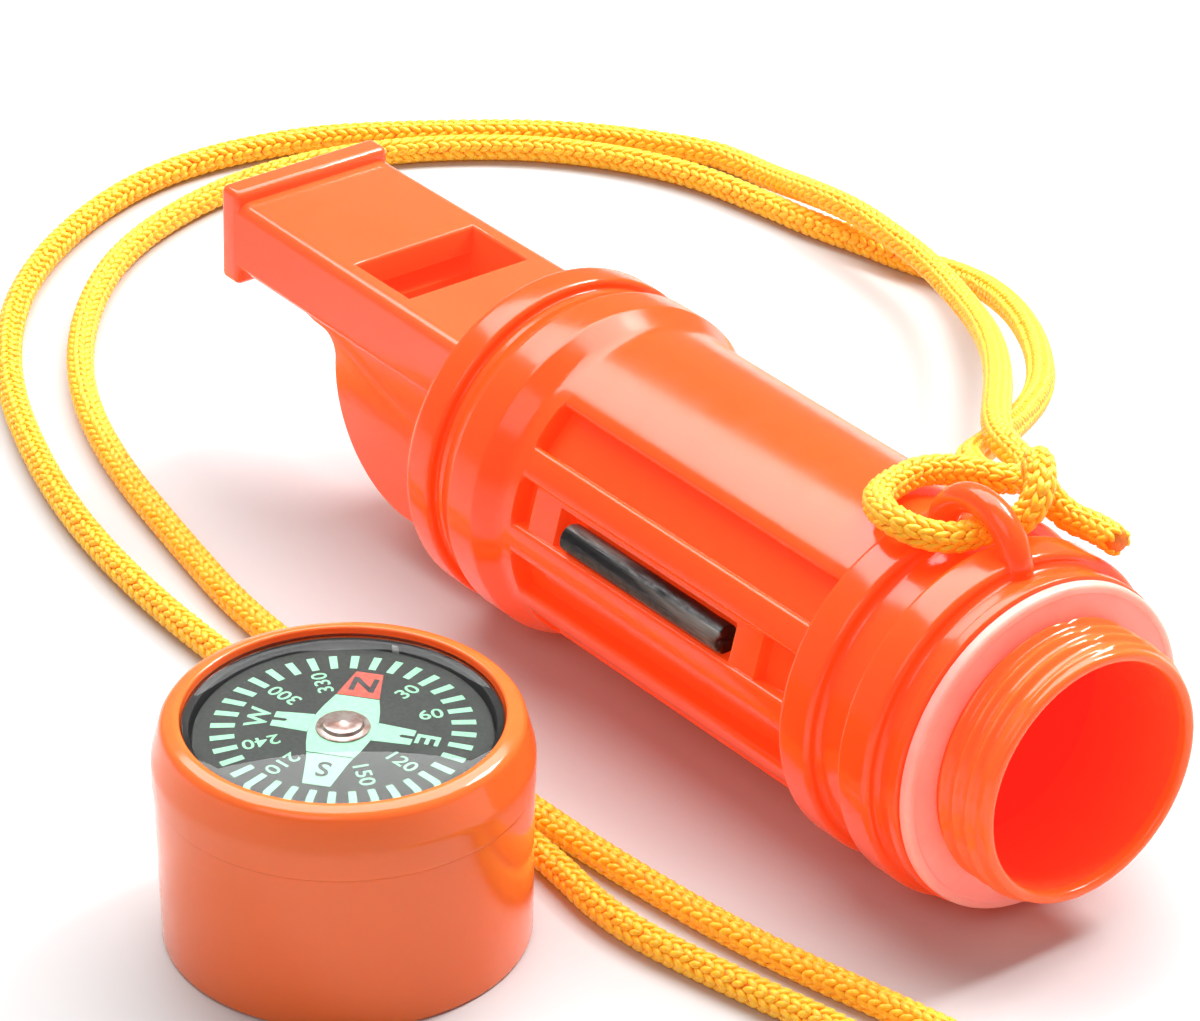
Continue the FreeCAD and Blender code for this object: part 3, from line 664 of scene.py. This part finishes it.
# sideways places of the columns along a flute's floor
FLOOR_COLUMNS = [
    -1.85, -1.80, -1.76, -1.70, -1.695, -1.6, -0.9, -0.2, 0.5, 1.2, 1.295, 1.30, 1.42, 1.70, 1.82, 1.85,
]
PAD_START, PAD_END, PAD_UP = 23.5, 51.0, 12.45
POCKET_START, POCKET_END, POCKET_UP, POCKET_SHIFT, POCKET_HALF = 26.6, 47.7, 10.8, -0.2, 1.5
FLUTE_ANGLES = [-133.2, -104.4, -75.6, -46.8, 46.8, 75.6, 104.4, 133.2]
ROD_FLUTE = -75.6
RIDGE, EDGE_RAMP, NECK_LENGTH = 0.42, 0.1, 6.3
THREAD_START, THREAD_END, THREAD_PITCH, THREAD_RISE = 0.8, 5.6, 1.42, 0.46
ROD_START, ROD_END, ROD_R, ROD_UP, ROD_SHIFT = 27.6, 46.5, 1.2, 12.0, -0.5
EYELET_R, EYELET_AT, EYELET_UP = 4.12, 13.5, 12.7
# extra rows along the barrel, close together where a flute, its pad or its pocket begins or ends
BARREL_ROWS = [
    19.0, 19.06, 19.12, 19.2, 19.5, 20.5, 22, 24.5, 25.5, 28, 30, 33, 36, 39, 42, 45, 46.5, 49, 51.8,
    52.35, 52.45, 52.52, 52.58, 52.66, 53,
]
for edge_place in (PAD_START, POCKET_START, POCKET_END, PAD_END):
    BARREL_ROWS += [edge_place + 0.06 * k for k in (-2, -1, 0, 1, 2)]

OUTER = [
    (61.3, 9.65, 0), (61.3, 13.4, 0.15), (60.7, 13.4, 0.5), (59.2, 14.0, 0.7), (56.2, 14.0, 0.9),
    (54.0, BARREL_R, 2.6), (18.95, BARREL_R, 0.35), (18.95, RING_R, 0.95), (15.55, RING_R, 0.95),
    (15.55, WAIST_R, 0.55), (12.3, WAIST_R, 0.55), (12.3, RING_R, 0.95), (8.9, RING_R, 0.95),
    (8.9, WAIST_R, 0.5), (7.3, WAIST_R, 0.2), (7.3, 13.3, 0.25), (6.32, 13.3, 0.2),
    (6.32, NECK_R, 0.1), (0, NECK_R, 0.42), (0, BORE_R, 0.4), (0.9, BORE_R, 0),
]
INNER = [(0.9, BORE_R, 0), (30.0, BORE_R, 0), (57.3, BORE_R, 0), (57.3, 9.65, 0), (61.3, 9.65, 0)]


def step(value, low, high):
    """0 below low, 1 above high, smooth between."""
    share = np.clip((np.asarray(value, float) - low) / (high - low), 0, 1)
    return share * share * (3 - 2 * share)


def band(value, low, high):
    """1 between low and high, 0 outside, with a short ramp at each."""
    rising = step(value, low - EDGE_RAMP, low + EDGE_RAMP)
    return rising * (1 - step(value, high - EDGE_RAMP, high + EDGE_RAMP))


def flute_edge():
    """(sideways, height) of the columns over one rounded edge of a flute, from outside to inside."""
    top = math.sqrt(BARREL_R ** 2 - (FLUTE_HALF + RIDGE) ** 2)
    edge = [(FLUTE_HALF + RIDGE, top)]
    for k in range(1, 6):
        turn = math.radians(90 + 18 * k)
        edge.append((FLUTE_HALF + RIDGE + RIDGE * math.cos(turn), top - RIDGE + RIDGE * math.sin(turn)))
    return edge


def container_rows():
    """The outline's (depth, radius) points with the extra rows of the barrel and the neck."""
    path = rounded_path(OUTER, 7)
    rows = []
    for first, second in zip(path[:-1], path[1:]):
        rows.append(first)
        low, high = sorted((first[0], second[0]))
        level = abs(first[1] - second[1]) < 1e-6
        inside = []
        if level and abs(first[1] - BARREL_R) < 1e-6:
            inside = [d for d in BARREL_ROWS if low < d < high]
        if level and abs(first[1] - NECK_R) < 1e-6:
            inside = [d for d in np.arange(0.6, 6.2, 0.11) if low < d < high]
        for d in sorted(inside, reverse=first[0] > second[0]):
            rows.append(np.array([d, first[1]]))
    rows.append(path[-1])
    return np.array(rows)


def container_columns():
    """(angle, flute, sideways, height) of the columns around the container.

    Height is None on a flute's floor. The last three are None between two flutes.
    """
    edge = flute_edge()
    across = [(-side, up) for side, up in edge] + [(side, None) for side in FLOOR_COLUMNS] + edge[::-1]
    columns = []
    for index, flute in enumerate(FLUTE_ANGLES):
        centre = math.radians(flute)
        for k, (side, up) in enumerate(across):
            shift = -FLUTE_REACH + 2 * FLUTE_REACH * k / (len(across) - 1)
            columns.append((centre + shift / BARREL_R, flute, side, up))
        first = centre + FLUTE_REACH / BARREL_R
        last = math.radians(FLUTE_ANGLES[(index + 1) % len(FLUTE_ANGLES)]) - FLUTE_REACH / BARREL_R
        if last < first:
            last += TAU
        gap = int(math.ceil((last - first) / math.radians(2.0)))
        for k in range(1, gap):
            columns.append((first + (last - first) * k / gap, None, None, None))
    return columns


def container_points():
    """The outside of the container as one grid of rows along and columns around."""
    rows = container_rows()
    columns = container_columns()
    depth, plain = rows[:, 0], rows[:, 1]
    up_grid = np.zeros((len(rows), len(columns)))
    side_grid = np.zeros_like(up_grid)
    strength = step(depth, *FLUTE_IN) * (1 - step(depth, *FLUTE_OUT))
    strength = np.where(np.abs(plain - BARREL_R) < 1e-3, strength, 0)
    pad_floor = FLUTE_FLOOR + (PAD_UP - FLUTE_FLOOR) * band(depth, PAD_START, PAD_END)
    pocket_floor = pad_floor + (POCKET_UP - PAD_UP) * band(depth, POCKET_START, POCKET_END)
    fade = step(depth, THREAD_START - 0.3, THREAD_START + 0.5)
    fade = fade * (1 - step(depth, THREAD_END - 0.5, THREAD_END))
    on_neck = (np.abs(plain - NECK_R) < 1e-3) & (depth < 6.2)
    thread = np.where(on_neck, THREAD_RISE * fade, 0)
    for j, (place_around, flute, side, up) in enumerate(columns):
        phase = (depth - THREAD_START) / THREAD_PITCH - place_around / TAU
        tooth = (0.5 + 0.5 * np.cos(phase * TAU)) ** 1.8
        jog = 1 - 0.35 * math.exp(-((place_around - 0.12) / 0.05) ** 2)
        radius = plain + thread * tooth * jog
        plain_up, plain_side = radius * math.cos(place_around), radius * math.sin(place_around)
        if flute is not None:
            if up is not None:
                height = up
            elif flute != ROD_FLUTE:
                height = FLUTE_FLOOR
            elif abs(side - POCKET_SHIFT) <= POCKET_HALF:
                height = pocket_floor
            else:
                height = pad_floor
            if up is None and abs(abs(side) - FLUTE_HALF) < 1e-6:
                height = height + FOOT_RISE
            centre = math.radians(flute)
            at_up = height * math.cos(centre) - side * math.sin(centre)
            at_side = height * math.sin(centre) + side * math.cos(centre)
            plain_up = plain_up + (at_up - plain_up) * strength
            plain_side = plain_side + (at_side - plain_side) * strength
        up_grid[:, j], side_grid[:, j] = plain_up, plain_side
    return bottle(depth[:, None], up_grid, side_grid).reshape(-1, 3), len(rows), len(columns)


def make_eyelet():
    """The arch that the cord passes under, flared where it meets the two collar rings."""
    feet = [(-1.6, 0.6, 2.0), (-1.0, 0.3, 1.7), (-0.45, 0.08, 1.4)]
    stations = [(EYELET_R + spread, drop, thick) for drop, spread, thick in feet]
    for k in range(25):
        turn = math.pi * k / 24
        thick = 1.17 + 0.06 * abs(math.cos(turn)) ** 3
        stations.append((EYELET_R * math.cos(turn), EYELET_R * math.sin(turn), thick))
    stations += [(-EYELET_R - spread, drop, thick) for drop, spread, thick in reversed(feet)]
    stations = np.array(stations)
    ahead = np.gradient(stations[:, :2], axis=0)
    ahead /= np.linalg.norm(ahead, axis=1)[:, None]
    sides = 28
    turn = np.arange(sides) * TAU / sides
    along, up, radius = (stations[:, k][:, None] for k in range(3))
    along = along + ahead[:, 1][:, None] * np.cos(turn) * radius
    up = up - ahead[:, 0][:, None] * np.cos(turn) * radius
    side = np.sin(turn) * radius
    points = bottle(EYELET_AT - along, EYELET_UP + up, side).reshape(-1, 3)
    return mesh_piece("eyelet", points, grid_faces(len(stations), sides))


def make_container():
    points, rows, columns = container_points()
    shell = mesh_piece("container_outside", points, grid_faces(rows, columns))
    path = rounded_path(INNER, 1, 1.5)
    bore = mesh_piece("container_bore", about_bottle(path, 144), grid_faces(len(path), 144))
    arch = make_eyelet()
    for part, ink in ((shell, "body_plastic"), (bore, "bore_plastic"), (arch, "body_plastic")):
        part.data.materials.append(MAT[ink])
        outward(part)
    # painted light: the neck and lip, moulded in one with the body, get a lighter orange copy of its plastic
    shell.data.materials.append(MAT["neck_plastic"])
    for polygon in shell.data.polygons:
        if polygon.center.x > (MOUTH_X - NECK_LENGTH) * MM:
            polygon.material_index = 1
    piece = join("container", [shell, bore, arch])
    shade_by_angle(piece, 38)
    place(piece, "bottle", "body_plastic", "container_barrel")


def make_gasket():
    corners = [
        (5.7, 10.2, 0), (5.32, 10.2, 0.12), (5.36, 12.3, 0.2), (5.28, 12.42, 0.1), (5.3, 13.1, 0.32),
        (6.3, 13.1, 0.3), (6.3, 10.2, 0.1), (5.7, 10.2, 0),
    ]
    ring = turned_bottle("gasket_ring", corners)
    finish(ring, "gasket_silicone", 50, "bottle", "gasket_silicone", "neck_gasket")


def make_rod():
    """The ferro rod, with a chipped end and a worn surface."""
    dice = np.random.default_rng(3)
    corners = [(ROD_START, 0.05, 0), (ROD_START, ROD_R, 0.12), (ROD_END, ROD_R, 0.15), (ROD_END, 0.05, 0)]
    path = rounded_path(corners, 4, 0.35)
    segments = 48
    turn = np.arange(segments) * TAU / segments
    depth = np.repeat(path[:, 0][:, None], segments, 1)
    radius = np.repeat(path[:, 1][:, None], segments, 1)
    for _ in range(60):
        dent, at = dice.uniform(ROD_START, ROD_END), dice.uniform(0, TAU)
        long, wide, deep = dice.uniform(0.2, 1.4), dice.uniform(0.1, 0.34), dice.uniform(0.015, 0.07)
        gap = np.angle(np.exp(1j * (turn - at)))
        radius = radius - deep * np.exp(-((depth - dent) / long) ** 2 - (gap / wide) ** 2) * (radius > 0.6)
    near = np.exp(-((depth - ROD_START) / 0.28) ** 2)
    ragged = sum(0.05 * np.sin(k * turn + p) for k, p in ((3, 0.4), (5, 1.9), (8, 4.0)))
    radius = radius - near * np.clip(ragged, 0, 1) * (radius > 0.6)
    depth = depth + 0.07 * np.sin(4 * turn + 2 * radius) * np.exp(-((depth - ROD_START) / 0.05) ** 2)
    centre = math.radians(ROD_FLUTE)
    height, side = ROD_UP + radius * np.cos(turn), ROD_SHIFT + radius * np.sin(turn)
    up = height * math.cos(centre) - side * math.sin(centre)
    across = height * math.sin(centre) + side * math.cos(centre)
    points = bottle(depth, up, across).reshape(-1, 3)
    rod = mesh_piece("rod", points, capped_faces(len(path), segments))
    finish(rod, "ferro", 50, "bottle", "ferro", "ferro_rod")


make_container()
make_gasket()
make_rod()

# ---- whistle

BOX_TOP, BOX_LOW, BOX_END = 9.05, 2.66, 99.1
CHAMBER_AT, CHAMBER_UP, CHAMBER_R, HOLLOW_R = 73.3, 0.2, 10.0, 7.8
BELLY_START, WALL_TOP = 64.0, 4.0


def oblong(start, end, low, high):
    """An upright rectangle of (depth, up) corners."""
    return [(start, low), (end, low), (end, high), (start, high)]


def belly_outline():
    """Round chamber below the box, with a small inside curve where the two meet."""
    fillet = 1.8
    up = BOX_LOW - fillet
    reach = CHAMBER_R + fillet
    across = math.sqrt(reach ** 2 - (up - CHAMBER_UP) ** 2)
    middle = CHAMBER_AT + across
    outline = [(BELLY_START, WALL_TOP), (middle + 3.4, WALL_TOP), (middle + 3.4, BOX_LOW + 0.75)]
    outline += [(middle + 2.2, BOX_LOW + 0.33), (middle + 1.1, BOX_LOW + 0.08)]
    first = math.pi / 2
    last = math.atan2(CHAMBER_UP - up, -across) % TAU
    for k in range(9):
        turn = first + (last - first) * k / 8
        outline.append((middle + fillet * math.cos(turn), up + fillet * math.sin(turn)))
    start = math.atan2(up - CHAMBER_UP, across)
    end = math.acos((CHAMBER_AT - BELLY_START) / CHAMBER_R) - math.pi
    for k in range(1, 65):
        turn = start + (end - start) * k / 64
        outline.append((CHAMBER_AT + CHAMBER_R * math.cos(turn), CHAMBER_UP + CHAMBER_R * math.sin(turn)))
    return outline


def half_width(depth):
    """Half the box's width, which narrows a little towards the mouthpiece."""
    return 8.0 + (7.6 - 8.0) * (depth - 61.9) / (BOX_END - 61.9)


def lengthwise(edge):
    run = edge.verts[1].co - edge.verts[0].co
    return abs(run.x) > 0.9 * run.length


def hollow_rim(edge):
    """Edges of the window on the box's top and of the windway at the mouthpiece's end."""
    ups = [(v.co.z / MM - AXIS_Z) for v in edge.verts]
    depths = [MOUTH_X - v.co.x / MM for v in edge.verts]
    on_top = min(ups) > BOX_TOP - 0.25 and max(depths) < 82.8 and min(depths) > 75.2
    at_end = min(depths) > BOX_END - 0.05
    return on_top or at_end


def make_whistle():
    box = prism("whistle_box", oblong(63.0, BOX_END - 0.6, BOX_LOW, BOX_TOP), half_width)
    soften(box, 1.15, 7, lengthwise)
    rim = prism("whistle_rim", oblong(96.65, BOX_END, 1.52, 10.03), 7.68)
    soften(rim, 0.62, 5)
    belly = prism("whistle_belly", belly_outline(), 7.55)
    soften(belly, 0.35, 4)
    combine(box, belly, "UNION")
    combine(box, rim, "UNION")
    chamber = []
    for k in range(96):
        turn = k * TAU / 96
        chamber.append((CHAMBER_AT + HOLLOW_R * math.cos(turn), CHAMBER_UP + HOLLOW_R * math.sin(turn)))
    combine(box, prism("cut_chamber", chamber, 6.2), "DIFFERENCE")
    combine(box, prism("cut_window", oblong(75.4, 82.57, 2.6, 12), 5.82), "DIFFERENCE")
    combine(box, prism("cut_windway", oblong(82.0, 100.2, 3.5, 6.7), 5.8), "DIFFERENCE")
    soften(box, 0.28, 4, hollow_rim)
    flange = turned_bottle("whistle_flange", [
        (61.3, 9.6, 0), (57.3, 9.6, 0.2), (57.3, 0.1, 0), (66.4, 0.1, 0), (66.4, 11.5, 0), (65.2, 11.9, 0.4),
        (65.2, RING_R, 1.35), (61.9, RING_R, 1.35), (61.9, 13.15, 0.2), (61.3, 13.15, 0), (61.3, 9.6, 0),
    ], 176, 9)
    outward(flange)
    for part, ink in ((box, "whistle_plastic"), (flange, "body_plastic")):
        part.data.materials.clear()
        part.data.materials.append(MAT[ink])
    piece = join("whistle", [box, flange])
    shade_by_angle(piece, 32)
    place(piece, "bottle", "whistle_plastic", "whistle_body")


def copied(node, name, ink, body):
    """A CAD node's own shape as a new piece with smooth shading."""
    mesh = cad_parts[node].data.copy()
    mesh.name = name
    piece = linked(name, mesh)
    work = bmesh.new()
    work.from_mesh(mesh)
    bmesh.ops.remove_doubles(work, verts=work.verts, dist=1e-7)
    work.to_mesh(mesh)
    work.free()
    mesh.materials.clear()
    mesh.materials.append(MAT[ink])
    shade_by_angle(piece, 30)
    place(piece, body, ink, node)


make_whistle()
copied("windway_block", "windway_insert", "whistle_plastic", "bottle")
copied("chamber_cover", "chamber_plate", "whistle_plastic", "bottle")

# ---- cap and compass


def make_cap():
    corners = [
        (0.6, 10.9, 0), (0.0, 10.9, 0.25), (0.0, 13.67, 0.35), (12.96, 13.89, 0.05), (13.03, 13.87, 0.03),
        (13.16, 13.985, 0.1), (15.2, 14.0, 3.4), (18.05, 13.25, 2.2), (18.4, 12.3, 0.5),
        (18.4, 11.82, 0.2), (17.2, 11.82, 0), (12.5, 11.82, 0), (12.5, 6.0, 0), (11.0, 6.0, 0),
        (11.0, 10.3, 0), (10.2, 10.3, 0), (10.2, 10.9, 0),
    ]
    # rings inside the skirt, in place of its thread
    ridges = []
    for k in range(62):
        wave = max(math.cos(k * 0.14 / 1.55 * TAU), -0.3) * 0.16
        ridges.append((9.6 - k * 0.14, 10.9 - 0.1 + wave * 0.6))
    cap = turned_cap("cap", np.vstack([rounded_path(corners, 8), ridges]), 200)
    finish(cap, "cap_plastic", 40, "cap", "cap_plastic", "cap_shell")


def make_compass_cup():
    corners = [
        (13.3, 0.4, 0), (13.3, 11.0, 0.5), (16.9, 11.0, 0.1), (16.9, 11.74, 0.1), (12.55, 11.74, 0),
        (12.55, 0.4, 0),
    ]
    cup = turned_cap("compass_bowl", rounded_path(corners), 160)
    finish(cup, "capsule", 40, "cap", "capsule", "compass_cup")


def make_lens():
    """Flat underneath, domed on top, clear."""
    rise, radius = 1.05, 11.7
    dome = (radius ** 2 + rise ** 2) / (2 * rise)
    path = [(LENS_LOW, r) for r in np.linspace(1.5, 11.55, 9)]
    path += [(16.96, 11.66), (17.05, 11.7), (17.5, 11.7), (17.86, 11.7), (17.93, 11.66)]
    for r in np.linspace(11.5, 0.6, 26):
        path.append((LENS_TOP - dome + math.sqrt(dome ** 2 - r ** 2), r))
    segments = 192
    points = np.vstack([
        about_cap(np.array(path), segments), [[CAP_X, CAP_Y, LENS_LOW], [CAP_X, CAP_Y, LENS_TOP]]])
    faces = grid_faces(len(path), segments)
    base, last = len(points) - 2, (len(path) - 1) * segments
    for k in range(segments):
        m = (k + 1) % segments
        faces.append((base, m, k))
        faces.append((base + 1, last + k, last + m))
    lens = mesh_piece("lens", points, faces)
    finish(lens, "lens", 40, "cap", "lens", "compass_lens")
    lens.data.materials.append(MAT["lens_underside"])
    for polygon in lens.data.polygons:
        if polygon.normal.z < -0.9:
            polygon.material_index = 1


LENS_LOW, LENS_TOP, CARD_TOP = 16.92, 19.0, 16.3
NORTH = math.radians(128.7)


def rotated(outline, angle):
    """(ahead, left) places turned about the card's centre."""
    ahead, left = np.asarray(outline, float).T
    cos, sin = math.cos(angle), math.sin(angle)
    return np.stack([ahead * cos - left * sin, ahead * sin + left * cos], -1)


def to_bearing(outline, bearing):
    """Turns an outline that points north to a compass bearing in degrees."""
    return rotated(outline, -math.radians(bearing))


class Print:
    """Flat shapes of one ink at one height over the card, gathered into one piece."""

    def __init__(self, lift):
        self.points, self.faces, self.lift = [], [], lift

    def add(self, outline, faces=None):
        """Adds (ahead, left) places, seen with north ahead, as the given faces or as one."""
        start = len(self.points)
        for x, y in rotated(outline, NORTH).tolist():
            self.points.append((CAP_X + x, CAP_Y + y, CARD_TOP + self.lift))
        for face in faces or [range(len(outline))]:
            self.faces.append(tuple(start + v for v in face))

    def finish(self, name, ink):
        piece = mesh_piece(name, self.points, self.faces, smooth=False)
        work = bmesh.new()
        work.from_mesh(piece.data)
        for face in work.faces:
            if face.normal.z < 0:
                face.normal_flip()
        work.to_mesh(piece.data)
        work.free()
        piece.data.materials.append(MAT[ink])
        place(piece, "card", "card")


# the height of a capital letter over the text's size
CAPITAL_SHARE = 0.73


def glyphs(text, height, weight):
    """A text's flat outline as points and faces, centred, in millimetres."""
    curve = bpy.data.curves.new("glyphs", "FONT")
    curve.body = text
    curve.size = height / CAPITAL_SHARE
    curve.offset = weight
    curve.align_x, curve.align_y = "CENTER", "CENTER"
    curve.resolution_u = 4
    points, faces = curve_shape(curve)
    points = points[:, :2]
    middle = (points.max(0) + points.min(0)) / 2
    return points - middle, faces


def place_text(ink, text, bearing, out, height, outward_top, weight, wide):
    """Sets a text at a bearing. Letters have their top outwards, numbers read outwards."""
    points, faces = glyphs(text, height, weight)
    if outward_top:
        ahead, left = points[:, 1], -points[:, 0] * wide
    else:
        ahead, left = points[:, 0] * wide, points[:, 1]
    ink.add(to_bearing(np.stack([ahead + out, left], -1), bearing), faces)


def needle_half(out):
    """Half the needle's width at a distance from its middle."""
    return np.interp(abs(out), [0, 1.2, 2.4, 4.0, 7.3], [2.4, 2.3, 2.05, 1.58, 0.98])


def needle_band(first, last, steps=14):
    """The part of the lens-shaped needle between two places along it."""
    along = np.linspace(first, last, steps)
    right = [(a, -needle_half(a)) for a in along]
    left = [(a, needle_half(a)) for a in along[::-1]]
    return right + left


def make_card():
    disc = [(15.9, 1.5, 0), (15.9, 10.7, 0.1), (CARD_TOP, 10.7, 0.1), (CARD_TOP, 1.5, 0)]
    finish(turned_cap("card_disc", rounded_path(disc), 144), "card", 40, "card", "card", "compass_card")
    mint, red, dark = Print(0.03), Print(0.03), Print(0.055)
    for k in range(36):
        mint.add(to_bearing([(7.72, -0.27), (9.5, -0.3), (9.5, 0.3), (7.72, 0.27)], 10 * k))
    for bearing in (30, 60, 120, 150, 210, 240, 300, 330):
        out = 6.45 if bearing < 100 else 6.0
        place_text(mint, str(bearing), bearing, out, 1.18, False, 0.02, 1.16)
    red.add(needle_band(4.02, 7.25))
    place_text(dark, "N", 0, 5.6, 1.8, True, 0.07, 1.1)
    mint.add(needle_band(-3.42, 3.92, 40))
    mint.add(needle_band(-7.1, -3.52))
    place_text(dark, "S", 180, 5.25, 1.75, True, 0.04, 0.95)
    inner, notch, tip = 2.35, 4.25, 5.15
    for bearing in (90, 270):
        for side in (1, -1):
            mint.add(to_bearing([
                (inner, 0), (notch - 0.15, 0), (notch, 0.16 * side), (tip, 0.18 * side), (tip, 0.9 * side),
                (inner, 1.1 * side)], bearing))
    place_text(mint, "E", 90, 6.2, 1.75, True, 0.05, 1.1)
    place_text(mint, "W", 270, 6.25, 1.6, True, 0.05, 1.05)
    mint.finish("card_mint_print", "mint_print")
    red.finish("card_red_print", "red_print")
    dark.finish("card_dark_print", "dark_print")


def make_jewel():
    """Clear bearing cup with a low pointed cap over its collar."""
    path = np.array([
        (16.33, 0.5), (16.33, 1.93), (16.37, 1.97), (16.42, 1.95), (16.43, 1.62), (16.47, 1.52),
        (16.62, 1.46), (16.7, 1.42), (16.74, 1.32), (16.75, 1.0), (16.79, 0.5), (16.84, 0.22), (16.87, 0.05),
    ])
    jewel = mesh_piece("jewel", about_cap(path, 64), capped_faces(len(path), 64))
    finish(jewel, "jewel", 25, "card", "jewel", "jewel_cap")


def make_lubber_line():
    """A short white mark on the bowl's wall, on the side away from the view."""
    turn = math.radians(124.0)
    points = []
    for height in (15.2, 16.85):
        for side in (-0.022, 0.022):
            for radius in (10.93, 11.02):
                points.append((
                    CAP_X + radius * math.cos(turn + side), CAP_Y + radius * math.sin(turn + side), height))
    faces = [(0, 1, 3, 2), (4, 6, 7, 5), (0, 4, 5, 1), (2, 3, 7, 6), (0, 2, 6, 4), (1, 5, 7, 3)]
    piece = mesh_piece("lubber_line", points, faces, smooth=False)
    outward(piece)
    piece.data.materials.append(MAT["white_print"])
    place(piece, "cap", "capsule")


make_cap()
make_compass_cup()
make_lens()
make_card()
make_jewel()
make_lubber_line()
copied("signal_mirror", "mirror_disc", "mirror", "cap")
copied("compass_pivot", "pivot_needle", "pivot", "cap")
copied("card_magnet", "magnet_ring", "magnet", "card")

# ---- floor and light


FLOOR_REACH = 4000


def make_floor():
    corners = [(-FLOOR_REACH, -FLOOR_REACH, 0), (FLOOR_REACH, -FLOOR_REACH, 0)]
    corners += [(FLOOR_REACH, FLOOR_REACH, 0), (-FLOOR_REACH, FLOOR_REACH, 0)]
    piece = mesh_piece("floor", corners, [(0, 1, 2, 3)], smooth=False)
    paper = material("floor_white", (0.6, 0.6, 0.6), 0.3, IOR=1.35)
    vary(paper, "Base Color", 40, 3, (0.3, gray(0.595)), (0.7, gray(0.605)))
    piece.data.materials.append(paper)


def area_light(name, at, towards, size, power):
    data = bpy.data.lights.new(name, "AREA")
    data.shape = "RECTANGLE"
    data.size, data.size_y = size
    data.energy = power
    light = linked(name, data)
    light.location = at
    light.rotation_mode = "QUATERNION"
    light.rotation_quaternion = (Vector(towards) - Vector(at)).to_track_quat("-Z", "Y")


def seen_from(azimuth, elevation, distance):
    """A place in metres, from its direction in degrees and its distance."""
    around, up = math.radians(azimuth), math.radians(elevation)
    level = distance * math.cos(up)
    return (level * math.cos(around), level * math.sin(around), distance * math.sin(up))


def make_light():
    world = bpy.data.worlds.new("studio")
    bpy.context.scene.world = world
    world.use_nodes = True
    background = world.node_tree.nodes["Background"]
    background.inputs["Color"].default_value = (1, 1, 1, 1)
    background.inputs["Strength"].default_value = 0.28
    area_light("back_soft_box", seen_from(146, 66, 0.95), (0, 0, 0), (1.2, 0.74), 17.5)
    area_light("right_soft_box", seen_from(84, 47, 0.8), (0, 0, 0.01), (0.24, 0.2), 6.0)
    area_light("front_fill", seen_from(-70, 45, 0.9), (0, 0, 0.01), (0.6, 0.4), 1.2)
    bpy.context.scene.view_settings.view_transform = "Standard"
    bpy.context.scene.view_settings.exposure = 0.0


make_floor()
make_light()
